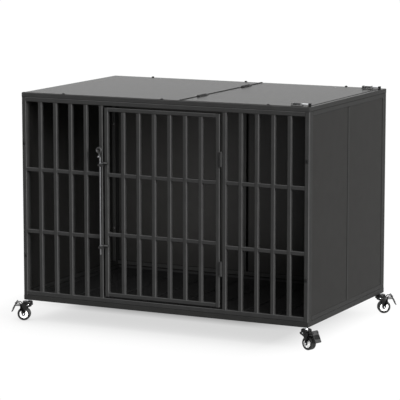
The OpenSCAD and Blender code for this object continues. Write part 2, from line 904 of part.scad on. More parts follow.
// Lid
module lid_frame() {
  lid_width = 2 * lid_half_width;
  middle_x = (lid_x + lid_end_x) / 2;
  color(charcoal) translate([middle_x, 0, lid_sheet_z - seat_gap - bar_tube]) {
    for (side = [0, 1])
      mirror([0, side, 0])
        translate([0, -lid_half_width, 0]) mitred_rail(lid_frame_length, bar_tube, bar_tube);
    for (side = [0, 1])
      mirror([side, 0, 0])
        translate([lid_frame_length / 2, 0, 0])
          rotate([0, 0, 90]) mitred_rail(lid_width, bar_tube, bar_tube);
  }
}

module lid_sheet() {
  color(wall_grey)
    translate([lid_sheet_x, -sheet_edge_y, lid_sheet_z])
      cube([lid_sheet_end_x - lid_sheet_x, 2 * sheet_edge_y, sheet_thickness]);
}

// Block with a bore along X for a lid bolt
module bolt_block(x, y, foot_z, length) {
  difference() {
    translate([x, y - bolt_guide_width / 2, foot_z])
      cube([length, bolt_guide_width, bolt_guide_top_z - foot_z]);
    translate([x - cut_past, y, bolt_axis_z])
      rotate([0, 90, 0]) cylinder(r = bolt_guide_r, h = length + 2 * cut_past);
  }
}

module lid_bolt_guides() {
  color(chrome)
    for (y = bolt_places) {
      translate([bolt_plate_x, y - lid_plate_width / 2, lid_top_z + seat_gap])
        cube([lid_plate_length, lid_plate_width, bolt_plate_t]);
      for (x = [bolt_plate_x, bolt_plate_end_x - bolt_guide_length])
        bolt_block(x, y, lid_top_z + seat_gap, bolt_guide_length);
    }
}

module lid_bolt_keepers() {
  color(dark_steel)
    for (y = bolt_places) bolt_block(keeper_x, y, top_z + seat_gap, bolt_guide_length);
}

// Lid bolt with its handle laid over towards the middle of the lid
module lid_bolt(y) {
  color(chrome) {
    translate([bolt_foot_x, y, bolt_axis_z])
      rotate([0, 90, 0]) cylinder(d = lid_bolt_d, h = bolt_tip_x - bolt_foot_x);
    translate([bolt_handle_x, y, bolt_axis_z])
      rotate([y < 0 ? -90 : 90, 0, 0]) {
        cylinder(r = bolt_handle_stem_r, h = bolt_handle_reach);
        translate([0, 0, bolt_handle_reach]) sphere(bolt_handle_r);
      }
  }
}

module front_lid_bolt() {
  lid_bolt(bolt_places[0]);
}

module rear_lid_bolt() {
  lid_bolt(bolt_places[1]);
}

// Casters
module at_caster(i) {
  translate([casters[i].x, casters[i].y, 0]) rotate([0, 0, casters[i].z]) children();
}

module caster_stems() {
  color(chrome)
    for (i = [0 : 3]) at_caster(i) {
      translate([0, 0, swivel_z - moving_gap - rivet_t])
        cylinder(d = stem_d, h = stem_end_z - swivel_z + moving_gap + rivet_t);
      translate([0, 0, swivel_z - moving_gap - rivet_t]) cylinder(d = rivet_d, h = rivet_t);
      translate([0, 0, swivel_top_z + moving_gap])
        cylinder(d = collar_d, h = collar_height - moving_gap - seat_gap, $fn = 6);
    }
}

// Side cheek of a fork, from the swivel head down to the axle
module cheek_outline() {
  front = -swivel_d / 2 + cheek_shift;
  back = caster_trail + cheek_behind;
  top = swivel_z - seat_gap;
  step_z = axle_z + cheek_step;
  polygon([
    [front, top], [front, top - cheek_nose], [cheek_throat_x, top - cheek_throat],
    [cheek_front_x, step_z], [caster_trail - cheek_foot_r, step_z - cheek_slope],
    [caster_trail - cheek_foot_r, axle_z], [caster_trail + cheek_foot_r, axle_z],
    [caster_trail + cheek_foot_r, step_z - cheek_slope], [back, step_z],
    [back, top - cheek_throat], [swivel_d / 2, top]
  ]);
  translate([caster_trail, axle_z]) circle(cheek_foot_r);
}

module caster_fork(i) {
  color(dark_steel) at_caster(i) {
    translate([0, 0, swivel_z])
      difference() {
        rotate_extrude() {
          square([swivel_d / 2 - swivel_round, swivel_height]);
          square([swivel_d / 2, swivel_height - swivel_round]);
          translate([swivel_d / 2 - swivel_round, swivel_height - swivel_round]) circle(swivel_round);
        }
        translate([0, 0, -cut_past]) cylinder(d = stem_d + 2 * running_fit, h = swivel_height + 2 * cut_past);
      }
    for (y = [-cheek_in, cheek_out])
      difference() {
        translate([0, y, 0]) rotate([90, 0, 0]) linear_extrude(cheek_t) cheek_outline();
        translate([caster_trail, y + cut_past, axle_z])
          rotate([90, 0, 0]) cylinder(d = axle_d + 2 * running_fit, h = cheek_t + 2 * cut_past);
        translate([pedal_pivot_x, y + cut_past, pedal_pivot_z])
          rotate([90, 0, 0]) cylinder(r = pedal_pin_r + running_fit, h = cheek_t + 2 * cut_past);
      }
  }
}

module caster_hub(i) {
  boss_half = cheek_in - hub_side_gap;
  head_y = cheek_out + moving_gap;
  color(hub_white) at_caster(i) translate([caster_trail, 0, axle_z]) rotate([90, 0, 0]) {
    difference() {
      union() {
        translate([0, 0, -hub_width / 2]) cylinder(d = hub_d, h = hub_width);
        translate([0, 0, -boss_half]) cylinder(d = hub_boss_d, h = 2 * boss_half);
      }
      translate([0, 0, -cheek_in]) cylinder(d = axle_d + 2 * running_fit, h = 2 * cheek_in);
    }
    translate([0, 0, -head_y]) cylinder(d = axle_d, h = 2 * head_y);
    for (side = [0, 1])
      mirror([0, 0, side]) translate([0, 0, head_y]) dome_head(axle_head_d, axle_head_t);
  }
}

module caster_tyre(i) {
  color(grip_black) at_caster(i) translate([caster_trail, 0, axle_z]) rotate([90, 0, 0])
    rotate_extrude()
      translate([tyre_rim_r, -wheel_width / 2]) {
        square([tyre_depth - tyre_round, wheel_width]);
        translate([0, tyre_round]) square([tyre_depth, wheel_width - 2 * tyre_round]);
        for (y = [tyre_round, wheel_width - tyre_round])
          translate([tyre_depth - tyre_round, y]) circle(tyre_round);
      }
}

// Side arm of a brake pedal with its window, from the pivot under the swivel head to the foot plate
module pedal_outline() {
  low = pedal_pivot_z - pedal_pivot_r;
  high = pedal_pivot_z + pedal_pivot_r;
  step_x = swivel_d / 2 + cheek_shift;
  window_x = step_x + pedal_rim;
  window_end = pedal_arm_end - pedal_rim;
  window_low = low + pedal_arm_lift + pedal_rim;
  window_high = high + pedal_arm_rise - pedal_rim;
  translate([pedal_pivot_x, pedal_pivot_z]) circle(pedal_pivot_r);
  difference() {
    polygon([
      [pedal_pivot_x, low], [step_x, low + pedal_pad_rise], [pedal_arm_end, low + pedal_arm_lift],
      [pedal_arm_end, high + pedal_arm_rise], [step_x + pedal_arm_rise, high + pedal_arm_rise],
      [step_x, high], [pedal_pivot_x, high]
    ]);
    polygon([
      [window_x, window_low], [window_end, window_low], [window_end, window_high],
      [window_x + pedal_arm_rise - pedal_rim / 2, window_high], [window_x, high - pedal_rim / 2]
    ]);
  }
}

module caster_pedal(i) {
  rivet_y = cheek_out + moving_gap;
  color(dark_steel) at_caster(i) {
    for (y = [-pedal_arm_in, pedal_arm_out])
      translate([0, y, 0]) rotate([90, 0, 0]) linear_extrude(pedal_arm_t) pedal_outline();
    translate([pedal_pivot_x, rivet_y, pedal_pivot_z])
      rotate([90, 0, 0]) cylinder(r = pedal_pin_r, h = 2 * rivet_y);
    for (side = [-1, 1])
      translate([pedal_pivot_x, side * rivet_y, pedal_pivot_z])
        rotate([-90 * side, 0, 0]) dome_head(2 * pedal_rivet_r, pedal_rivet_t);
    translate([pedal_pad_x, -pedal_arm_out, pedal_pivot_z - pedal_pivot_r + pedal_pad_rise])
      cube([pedal_pad_length, 2 * pedal_arm_out, pedal_arm_t]);
    translate([pedal_plate_x, 0, pedal_plate_z])
      rotate([0, -pedal_plate_tilt, 0])
        cube([pedal_plate_t, pedal_plate_width, pedal_plate_length], center = true);
  }
}

module front_left_fork() { caster_fork(0); }
module front_left_hub() { caster_hub(0); }
module front_left_tyre() { caster_tyre(0); }
module front_left_pedal() { caster_pedal(0); }
module front_right_fork() { caster_fork(1); }
module front_right_hub() { caster_hub(1); }
module front_right_tyre() { caster_tyre(1); }
module front_right_pedal() { caster_pedal(1); }
module rear_left_fork() { caster_fork(2); }
module rear_left_hub() { caster_hub(2); }
module rear_left_tyre() { caster_tyre(2); }
module rear_left_pedal() { caster_pedal(2); }
module rear_right_fork() { caster_fork(3); }
module rear_right_hub() { caster_hub(3); }
module rear_right_tyre() { caster_tyre(3); }
module rear_right_pedal() { caster_pedal(3); }

base_front_rail();
base_rear_rail();
base_left_rail();
base_right_rail();
floor_slats();
floor_tray();
front_bottom_rail();
front_top_rail();
front_left_grille();
front_right_grille();
back_panel_frame();
back_panel_sheets();
left_panel_frame();
left_panel_sheets();
right_panel_frame();
right_panel_sheets();
top_front_rail();
top_rear_rail();
top_left_rail();
top_right_rail();
top_mid_rail();
roof_sheet();
corner_bolts();
corner_nuts();
roof_bolts();
post_knuckles();
roof_hinge_leaves();
hinge_pins();
latch_guides();
lid_bolt_keepers();
caster_stems();
door_frame();
door_bars();
door_knuckles();
door_strikes();
latch_rod();
latch_knob();
lid_frame();
lid_sheet();
lid_hinge_leaves();
lid_bolt_guides();
front_lid_bolt();
rear_lid_bolt();
front_left_fork();
front_left_hub();
front_left_tyre();
front_left_pedal();
front_right_fork();
front_right_hub();
front_right_tyre();
front_right_pedal();
rear_left_fork();
rear_left_hub();
rear_left_tyre();
rear_left_pedal();
rear_right_fork();
rear_right_hub();
rear_right_tyre();
rear_right_pedal();
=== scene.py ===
"""Steel dog crate on casters: its finishes, hardware, wheels and stage around the solid parts."""

import itertools
import json
import math

import bmesh
import bpy
from bpy.props import FloatProperty, FloatVectorProperty, IntProperty, PointerProperty
from bpy.types import Operator, Panel, PropertyGroup
from mathutils import Matrix, Vector


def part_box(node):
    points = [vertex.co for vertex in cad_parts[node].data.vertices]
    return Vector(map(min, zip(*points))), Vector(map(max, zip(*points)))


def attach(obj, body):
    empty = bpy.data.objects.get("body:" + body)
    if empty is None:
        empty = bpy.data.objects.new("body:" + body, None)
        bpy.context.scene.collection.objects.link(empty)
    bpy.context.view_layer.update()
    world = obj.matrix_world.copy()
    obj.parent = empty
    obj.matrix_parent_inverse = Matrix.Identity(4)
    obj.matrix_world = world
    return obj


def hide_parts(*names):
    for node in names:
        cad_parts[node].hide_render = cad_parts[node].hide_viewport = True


bl_info = {
    "name": "Dog Crate Dresser",
    "version": (1, 0, 0),
    "blender": (4, 5, 0),
    "location": "View3D > Sidebar > Crate",
    "description": "Finishes, hardware, casters and stage of a steel dog crate",
    "category": "Object",
}

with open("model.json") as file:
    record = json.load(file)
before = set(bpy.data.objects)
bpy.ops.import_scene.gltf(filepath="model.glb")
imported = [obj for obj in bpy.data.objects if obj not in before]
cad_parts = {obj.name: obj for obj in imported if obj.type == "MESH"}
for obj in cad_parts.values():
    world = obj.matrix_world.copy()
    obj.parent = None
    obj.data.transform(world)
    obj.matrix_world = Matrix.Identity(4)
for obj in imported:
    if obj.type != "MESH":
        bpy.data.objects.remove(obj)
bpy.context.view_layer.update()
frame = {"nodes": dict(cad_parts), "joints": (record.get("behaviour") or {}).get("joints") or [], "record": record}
NODES = frame["nodes"]
JOINTS = {joint["name"]: joint for joint in frame["joints"]}
SLOT_OF = {part["node"]: part["material_slot"] for part in frame["record"]["subparts"]}
CORNERS = ("front_left", "front_right", "rear_left", "rear_right")
MM = 0.001


# Settings


def colour_property(name, description, default):
    return FloatVectorProperty(
        name=name, description=description, subtype="COLOR", size=3, min=0, max=1, default=default
    )


def length_property(name, description, default_mm):
    return FloatProperty(name=name, description=description, unit="LENGTH", min=0, default=default_mm * MM)


def share_property(name, description, default):
    return FloatProperty(name=name, description=description, subtype="FACTOR", min=0, max=1, default=default)


def angle_property(name, description, default_degrees):
    return FloatProperty(
        name=name, description=description, unit="ROTATION", default=math.radians(default_degrees)
    )


def amount_property(name, description, default, least=0, unit="NONE"):
    return FloatProperty(name=name, description=description, unit=unit, min=least, default=default)


class CrateFinishes(PropertyGroup):
    """Colours and gloss of the crate's finishes"""

    tube: colour_property("Tubes", "Coat of the tubes", (0.0165, 0.0165, 0.0164))
    # The rails' colour is the tube coat made darker, painted shade on the side, back and base tubes
    rail_shade_tone: colour_property("Rails", "Tube coat darkened as painted shade on the side, back and base tubes", (0.0130, 0.0130, 0.0127))
    sheet: colour_property("Sheets", "Coat of the walls and the roof", (0.0107, 0.0105, 0.0101))
    tray: colour_property("Tray", "Coat of the floor tray", (0.011, 0.011, 0.011))
    dark_steel: colour_property("Dark steel", "Blackened nuts, pins and screws", (0.03, 0.03, 0.03))
    chrome: colour_property("Chrome", "Plated lid bolts, stems and axles", (0.72, 0.73, 0.75))
    guide: colour_property("Guides", "Dull zinc of the lid bolt guides", (0.07, 0.07, 0.07))
    rod: colour_property("Rod", "Smoky plating of the latch rod", (0.11, 0.11, 0.113))
    knob: colour_property("Knob", "Moulded grip of the latch", (0.012, 0.012, 0.012))
    black: colour_property("Black", "Blackened keepers, corner and roof bolts", (0.008, 0.008, 0.008))
    fork: colour_property("Forks", "Gloss black of the caster forks", (0.005, 0.005, 0.005))
    hub: colour_property("Hubs", "Nylon of the wheel hubs", (0.8, 0.8, 0.79))
    tyre: colour_property("Tyres", "Rubber of the tyres", (0.009, 0.009, 0.009))
    pedal: colour_property("Pedals", "Black plating of the brake arms", (0.045, 0.045, 0.045))
    foot: colour_property("Foot plates", "Grey coat of the brake's foot plates", (0.024, 0.024, 0.024))
    # Painted light on the tube and rail coats: paler upper edges are a painted highlight, darker lower edges are
    # painted shade
    painted_highlight: amount_property("Painted edge highlight", "How much paler upper tube edges are", 2.5, 1)
    rail_painted_highlight: amount_property("Painted rail highlight", "How much paler upper rail edges are", 1.1, 1)
    painted_shade: share_property("Painted edge shade", "Brightness of the lower tube edges", 0.35)
    rail_painted_shade: share_property("Painted rail shade", "Brightness of the lower rail edges", 0.1)
    coat_roughness: share_property("Coat roughness", "Roughness of the powder coat", 0.2)
    coat_specular: share_property("Coat reflection", "Mirror share of the powder coat", 0.014)


class CrateHardware(PropertyGroup):
    """Sizes of the small hardware"""

    bead: length_property("Weld bead", "Leg of a fillet weld", 2.6)
    bead_pitch: length_property("Weld ripple", "Distance between weld ripples", 1.6)
    corner_head: length_property("Corner bolt", "Diameter of the corner bolts' heads", 12)
    washer: length_property("Washer", "Diameter of the corner bolts' washers", 14.4)
    socket: length_property("Socket", "Width of the corner bolts' sockets", 4.0)
    roof_head: length_property("Roof bolt", "Diameter of the roof bolts' heads", 11.2)
    screw: length_property("Screw head", "Diameter of the bolt plates' screws", 4.48)
    rib_count: IntProperty(name="Tray ribs", description="Pressed ribs in the tray", min=0, default=7)


class CrateCasters(PropertyGroup):
    """Sizes of the casters, in their own frame with the stem upright and the wheel towards +X"""

    head_d: length_property("Swivel head", "Diameter of the swivel head", 40)
    head_z: length_property("Head underside", "Height of the swivel head's underside", 65)
    head_h: length_property("Head height", "Height of the swivel head", 11)
    stem_d: length_property("Stem", "Diameter of the stem", 8)
    cheek_in: length_property("Cheek inside", "Distance of a cheek's inside face", 14.3)
    cheek_t: length_property("Cheek thickness", "Thickness of a cheek", 2.5)
    axle_d: length_property("Axle", "Diameter of the axle", 6)
    wheel_d: length_property("Wheel", "Diameter of the wheel", 51)
    wheel_w: length_property("Tyre width", "Width of the tyre", 25)
    hub_d: length_property("Hub", "Diameter of the hub", 33)
    groove: length_property("Tread groove", "Depth of the two tread grooves", 0.8)


class CrateStage(PropertyGroup):
    """Camera and light of the product view"""

    azimuth: angle_property("Azimuth", "Camera's turn to the right", 26.229)
    elevation: angle_property("Elevation", "Camera's height angle", 8.736)
    place: FloatVectorProperty(
        name="Place", description="Camera's place", unit="LENGTH", size=3, default=(3.7221, -7.6026, 1.7626)
    )
    lens: amount_property("Lens", "Focal length of the camera", 198.06, 1, "CAMERA")
    ambient: amount_property("Ambient", "Strength of the surrounding light", 0.34)
    overhead: amount_property("Overhead", "Strength of the light from above", 2.6)
    side: amount_property("Side", "Strength of the light from the right", 7.7)
    back: amount_property("Back", "Strength of the light from behind", 7)
    cabin: amount_property("Cabin", "Power of the cabin's fill light", 2.5, unit="POWER")
    shadow: share_property("Shadow", "Depth of the soft shade under the crate", 0.38)
    core_shadow: share_property("Core shadow", "Depth of the shade under the crate's middle", 0.68)
    glow: amount_property("Floor glow", "Brightness of the unshaded floor", 1.02)


STORES = {
    CrateFinishes: "crate_finishes",
    CrateHardware: "crate_hardware",
    CrateCasters: "crate_casters",
    CrateStage: "crate_stage",
}


def finishes():
    return bpy.context.scene.crate_finishes


def hardware():
    return bpy.context.scene.crate_hardware


def casters():
    return bpy.context.scene.crate_casters


# Materials


class Tree:
    """Short way to add linked nodes to a node tree"""

    def __init__(self, tree):
        self.tree = tree

    def add(self, kind, inputs=None, **settings):
        node = self.tree.nodes.new(kind)
        for key, value in settings.items():
            setattr(node, key, value)
        for key, value in (inputs or {}).items():
            self.feed(value, node.inputs[key])
        return node

    def feed(self, value, socket):
        if isinstance(value, bpy.types.NodeSocket):
            self.tree.links.new(value, socket)
        else:
            socket.default_value = value

    def math(self, operation, first, second):
        return self.add("ShaderNodeMath", {0: first, 1: second}, operation=operation).outputs[0]

    def spread(self, value, span, low, high):
        """Value that goes from low to high while another goes through a span"""
        inputs = {"Value": value, "From Min": span[0], "From Max": span[1], "To Min": low, "To Max": high}
        return self.add("ShaderNodeMapRange", inputs).outputs["Result"]

    def parts(self, vector):
        return self.add("ShaderNodeSeparateXYZ", {"Vector": vector}).outputs

    def seen_rays(self):
        """Socket that is 1 for the rays that see the background, and 0 for those that only light"""
        path = self.add("ShaderNodeLightPath").outputs
        direct = self.math("MAXIMUM", path["Is Camera Ray"], path["Is Glossy Ray"])
        return self.math("MAXIMUM", direct, path["Is Transmission Ray"])


NOISE_SPAN = (0.25, 0.75)
RAMP_SPAN = (0.3, 0.7)
GLOSS_CHANGE = 0.015
BRUSHED_CHANGE = 0.12
SKIN_DEPTH, GRAIN_DEPTH, WAVE_DEPTH = 0.3 * MM, 0.2 * MM, 4 * MM
# Where a lid bolt goes from the painted shade inside its guide to its full brightness, from the end of its guide
GUIDE_SHADE_SPAN = (-4 * MM, 2 * MM)

# Where a coat's painted edge light changes, painted shade on roundings that look down and painted highlight on
# those that look up, from normals that look straight down at 0 to straight up at 1
FACE_DOWN, FACE_UP = 0.0075, 0.9925
LOWER_EDGE = (0.03, 0.35)
WALL = (0.43, 0.57)
UPPER_EDGE = (0.72, 0.97)


def grey(level):
    return (level, level, level, 1)


def scaled(colour, share):
    return tuple(min(1.0, channel * share) for channel in colour)


class Nodes(Tree):
    """Nodes of one new material around its shader"""

    def __init__(self, name):
        self.material = bpy.data.materials.new(f"{name}_finish")
        self.material.use_nodes = True
        super().__init__(self.material.node_tree)
        self.shader = self.tree.nodes["Principled BSDF"]
        coordinates = self.add("ShaderNodeTexCoord")
        self.place = coordinates.outputs["Object"]
        self.normal = coordinates.outputs["Normal"]

    def set(self, **values):
        for key, value in values.items():
            self.feed(value, self.shader.inputs[key.replace("_", " ")])

    def noise(self, scale, detail=2.0, stretch=None):
        vector = self.place
        if stretch:
            vector = self.add("ShaderNodeMapping", {"Vector": vector, "Scale": stretch}).outputs["Vector"]
        inputs = {"Vector": vector, "Scale": scale, "Detail": detail, "Roughness": 0.5}
        return self.add("ShaderNodeTexNoise", inputs).outputs["Fac"]

    def ramp(self, fac, low, high, span=RAMP_SPAN):
        node = self.add("ShaderNodeValToRGB", {"Fac": fac})
        for stop, position, colour in zip(node.color_ramp.elements, span, (low, high)):
            stop.position = position
            stop.color = (*colour, 1)
        return node.outputs["Color"]

    def mottled(self, fac, colour, darkest, palest):
        """Colour that wanders between two shares of itself"""
        return self.ramp(fac, scaled(colour, darkest), scaled(colour, palest))

    def bump(self, height, strength, distance, normal=None):
        inputs = {"Height": height, "Strength": strength, "Distance": distance}
        if normal:
            inputs["Normal"] = normal
        return self.add("ShaderNodeBump", inputs).outputs["Normal"]

    def painted_edge_light(self, pale, dark, upright):
        """Factor for a coat that paints light on its roundings: painted highlight where they look up, painted
        shade where they look down, 1 on flat faces

        On upright tubes the roundings that look right get the painted highlight too, as if lit from the right.
        """
        normal = self.parts(self.normal)
        rise = normal["Z"]
        if upright:
            rise = self.math("ADD", rise, self.math("MAXIMUM", normal["X"], 0.0))
        node = self.add("ShaderNodeValToRGB", {"Fac": self.spread(rise, (-1.0, 1.0), 0.0, 1.0)})
        stops = node.color_ramp.elements
        stops[0].position, stops[1].position = FACE_DOWN, FACE_UP
        stops[0].color = stops[1].color = grey(1 / pale)
        for zone, level in ((LOWER_EDGE, dark), (WALL, 1), (UPPER_EDGE, pale)):
            for position in zone:
                stops.new(position).color = grey(level / pale)
        return self.math("MULTIPLY", node.outputs["Color"], pale)


def powder_coat(name, colour, pale=1.0, dark=1.0, upright=False, grain=0.08, waviness=0.006):
    """Satin powder coat: fine orange peel, faint mottling and a slow change of gloss, with painted edge highlight
    and shade where asked
    """
    look = finishes()
    nodes = Nodes(name)
    fleck = nodes.noise(scale=1900, detail=3.0)
    cloud = nodes.noise(scale=26, detail=4.0)
    mottle = nodes.math("MULTIPLY", cloud, nodes.math("ADD", fleck, 0.5))
    coat = nodes.mottled(mottle, colour, 0.93, 1.07)
    # Painted light: upper edges paler as a painted highlight, lower edges darker as painted shade
    if pale > 1:
        inputs = {0: coat, "Scale": nodes.painted_edge_light(pale, dark, upright)}
        coat = nodes.add("ShaderNodeVectorMath", inputs, operation="SCALE").outputs["Vector"]
    low, high = look.coat_roughness - GLOSS_CHANGE, look.coat_roughness + GLOSS_CHANGE
    gloss = nodes.spread(nodes.noise(scale=55, detail=3.0), NOISE_SPAN, low, high)
    peel = nodes.bump(nodes.noise(scale=780), grain, SKIN_DEPTH)
    waves = nodes.bump(nodes.noise(scale=9, detail=1.0), waviness, WAVE_DEPTH, peel)
    nodes.set(Metallic=0.0, Specular_IOR_Level=look.coat_specular)
    nodes.set(Base_Color=coat, Roughness=gloss, Normal=waves)
    return nodes.material


def tube_coat():
    look = finishes()
    # Tube coat with painted highlight on upper and right-looking edges and painted shade on lower edges
    return powder_coat("tube_coat", look.tube, look.painted_highlight, look.painted_shade, upright=True)


# The tube coat made darker as painted shade on the rails, with its own painted edge highlight and shade
def rail_coat():
    look = finishes()
    return powder_coat("rail_coat", look.rail_shade_tone, look.rail_painted_highlight, look.rail_painted_shade)


def weld_coat():
    return powder_coat("weld_coat", finishes().tube)


def sheet_coat():
    return powder_coat("sheet_coat", finishes().sheet, grain=0.06, waviness=0.008)


def tray_coat():
    return powder_coat("tray_coat", finishes().tray, grain=0.2, waviness=0.02)


ALONG_X = (0.04, 1.0, 1.0)
ALONG_Z = (1.0, 1.0, 0.04)
ACROSS = (0.15, 0.15, 1.0)


def drawn_metal(nodes, colour, rough, brush):
    """Gives a material the fine drawn lines of plated metal"""
    lines = nodes.noise(scale=900, stretch=brush)
    gloss = nodes.spread(lines, NOISE_SPAN, rough, rough + BRUSHED_CHANGE)
    grain = nodes.bump(lines, 0.05, GRAIN_DEPTH)
    nodes.set(Metallic=1.0, Base_Color=colour, Roughness=gloss, Normal=grain)
    return nodes.material


def plated(name, colour, rough, brush):
    """Bright metal with faint smudges"""
    nodes = Nodes(name)
    smudge = nodes.noise(scale=60, detail=4.0)
    return drawn_metal(nodes, nodes.mottled(smudge, colour, 0.88, 1.06), rough, brush)


def chrome():
    return plated("chrome", finishes().chrome, rough=0.1, brush=ALONG_Z)


def rod_steel():
    return plated("rod_steel", finishes().rod, rough=0.34, brush=ALONG_Z)


def pedal_steel():
    return plated("pedal_steel", finishes().pedal, rough=0.24, brush=ACROSS)


def bolt_plating():
    """Plated bar, darkened as painted shade inside its guide and bright where it leaves it"""
    nodes = Nodes("bolt_plating")
    guide_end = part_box("lid_bolt_guides")[1].x
    along = nodes.parts(nodes.place)["X"]
    # Painted shade: nearly black inside the guide, bright past its end
    past_guide = nodes.spread(along, [guide_end + place for place in GUIDE_SHADE_SPAN], 0.0, 1.0)
    colour = finishes().chrome
    shade = nodes.ramp(past_guide, scaled(colour, 0.06), scaled(colour, 1.2), (0.0, 1.0))
    return drawn_metal(nodes, shade, rough=0.12, brush=ALONG_X)


def dark_steel():
    """Blackened steel with a light grain"""
    nodes = Nodes("dark_steel")
    shade = nodes.mottled(nodes.noise(scale=300, detail=4.0), finishes().dark_steel, 0.7, 1.4)
    gloss = nodes.spread(nodes.noise(scale=520, detail=3.0), NOISE_SPAN, 0.3, 0.46)
    grain = nodes.bump(nodes.noise(scale=1400), 0.12, GRAIN_DEPTH)
    nodes.set(Metallic=0.7, Base_Color=shade, Roughness=gloss, Normal=grain)
    return nodes.material


def moulded(name, colour, rough, grain=0.1, scale=900, mirror=0.45):
    """Moulded plastic, rubber or paint with a fine skin"""
    nodes = Nodes(name)
    shade = nodes.mottled(nodes.noise(scale=90, detail=4.0), colour, 0.86, 1.1)
    gloss = nodes.spread(nodes.noise(scale=130, detail=3.0), NOISE_SPAN, *rough)
    skin = nodes.bump(nodes.noise(scale), grain, SKIN_DEPTH)
    nodes.set(Metallic=0.0, Specular_IOR_Level=mirror, Base_Color=shade, Roughness=gloss, Normal=skin)
    return nodes.material


def knob_plastic():
    return moulded("knob_plastic", finishes().knob, rough=(0.4, 0.55), grain=0.12, scale=1500, mirror=0.3)


def caster_black():
    return moulded("caster_black", finishes().fork, rough=(0.22, 0.32), grain=0.08, scale=700, mirror=0.14)


def matt_black():
    return moulded("matt_black", finishes().black, rough=(0.5, 0.65), mirror=0.03)


def guide_zinc():
    return moulded("guide_zinc", finishes().guide, rough=(0.35, 0.5))


def foot_coat():
    return moulded("foot_coat", finishes().foot, rough=(0.45, 0.6), grain=0.15, mirror=0.15)


def hub_plastic():
    return moulded("hub_plastic", finishes().hub, rough=(0.36, 0.5), grain=0.08, scale=1200)


def tyre_rubber():
    return moulded("tyre_rubber", finishes().tyre, rough=(0.4, 0.55), grain=0.2, scale=1100, mirror=0.2)


FINISHES = {
    make.__name__: make
    for make in (
        tube_coat, rail_coat, weld_coat, sheet_coat, tray_coat,
        dark_steel, chrome, rod_steel, pedal_steel, bolt_plating,
        knob_plastic, matt_black, guide_zinc, caster_black, foot_coat, hub_plastic, tyre_rubber,
    )
}

# Rails that get the darker copy of the tube coat as painted shade
SHADED_RAIL_NODES = (
    "back_panel_frame", "left_panel_frame", "right_panel_frame",
    "base_front_rail", "base_left_rail", "base_right_rail", "base_rear_rail",
    "top_left_rail", "top_right_rail",
)
# Nodes whose look isn't their slot's own
LOOKS = {
    **dict.fromkeys(SHADED_RAIL_NODES, "rail_coat"),
    "latch_rod": "rod_steel",
    "front_lid_bolt": "bolt_plating",
    "rear_lid_bolt": "bolt_plating",
    "lid_bolt_guides": "guide_zinc",
    "lid_bolt_keepers": "matt_black",
    "post_knuckles": "weld_coat",
    "door_knuckles": "weld_coat",
}


def finish(look):
    return bpy.data.materials.get(f"{look}_finish") or FINISHES[look]()


# Shapes

SHARP_ANGLE = math.radians(35)
RIM_ANGLE = math.radians(69)
# Distances under which two points are one
SAME_POINT, SAME_NODE_POINT = 1e-7, 1e-6
SIDEWAYS = Matrix.Rotation(math.pi / 2, 4, "X")
TURN_ROUND = Matrix.Rotation(math.pi, 4, "X")


def in_metres(points):
    return [(x * MM, y * MM) for x, y in points]


def closed(bm):
    bmesh.ops.remove_doubles(bm, verts=bm.verts, dist=SAME_POINT)
    bmesh.ops.recalc_face_normals(bm, faces=bm.faces)
    return bm


def turned(profile, steps):
    """Solid of revolution about Z, from its (radius, height) points in order"""
    bm = bmesh.new()
    verts = [bm.verts.new((radius, 0.0, height)) for radius, height in profile]
    edges = [bm.edges.new(pair) for pair in zip(verts, verts[1:])]
    bmesh.ops.spin(
        bm, geom=verts + edges, angle=math.tau, steps=steps, axis=(0, 0, 1), cent=(0, 0, 0), use_merge=True
    )
    return closed(bm)


def pin_shape(radius, reach, steps):
    """Plain pin along Z that reaches equally far both ways"""
    return turned([(0, -reach), (radius, -reach), (radius, reach), (0, reach)], steps)


def quarter_round(radius, height, round_r, sign, steps=4):
    """Points from a turned wall of that radius to a face at that height, above it or below"""
    angles = [math.pi / 2 * i / steps for i in range(steps + 1)]
    x, y = radius - round_r, height - sign * round_r
    return [(x + round_r * math.cos(angle), y + sign * round_r * math.sin(angle)) for angle in angles]


def bevel(bm, geom, offset, segments, affect):
    bmesh.ops.bevel(
        bm, geom=geom, offset=offset, segments=segments, profile=0.5, affect=affect, material=-1
    )


def cut_plate(outline, thickness, corner=0.0, edge=0.0):
    """Plate from its outline in XY, its thickness towards +Z, with rounded corners and soft edges"""
    bm = bmesh.new()
    bm.faces.new([bm.verts.new((x, y, 0.0)) for x, y in outline])
    if corner:
        bevel(bm, list(bm.verts), corner, segments=4, affect="VERTICES")
    grown = bmesh.ops.extrude_face_region(bm, geom=list(bm.faces))
    top = [part for part in grown["geom"] if isinstance(part, bmesh.types.BMVert)]
    bmesh.ops.translate(bm, verts=top, vec=(0, 0, thickness))
    closed(bm)
    if edge:
        rims = [rim for rim in bm.edges if rim.calc_face_angle(0.0) > RIM_ANGLE]
        bevel(bm, rims, edge, segments=2, affect="EDGES")
    return bm


def rectangle(width, height):
    x, y = width / 2, height / 2
    return [(-x, -y), (x, -y), (x, y), (-x, y)]


def moved(bm, place):
    bmesh.ops.transform(bm, matrix=place, verts=bm.verts)
    return bm


def new_mesh(name, bm):
    mesh = bpy.data.meshes.new(name)
    bm.to_mesh(mesh)
    bm.free()
    return mesh


def new_object(name, data):
    item = bpy.data.objects.new(name, data)
    bpy.context.scene.collection.objects.link(item)
    return item


def stamp(bm, part, places):
    """Adds copies of a shape to another, one at each place"""
    mesh = new_mesh("stamp", part)
    for place in places:
        first = len(bm.verts)
        bm.from_mesh(mesh)
        bm.verts.ensure_lookup_table()
        bmesh.ops.transform(bm, matrix=place, verts=bm.verts[first:])
    bpy.data.meshes.remove(mesh)


def shift(x=0.0, y=0.0, z=0.0):
    return Matrix.Translation((x, y, z))


def both_ends(reach):
    """Places at both ends of a pin along Z, each turned outwards"""
    return [shift(z=reach), shift(z=-reach) @ TURN_ROUND]


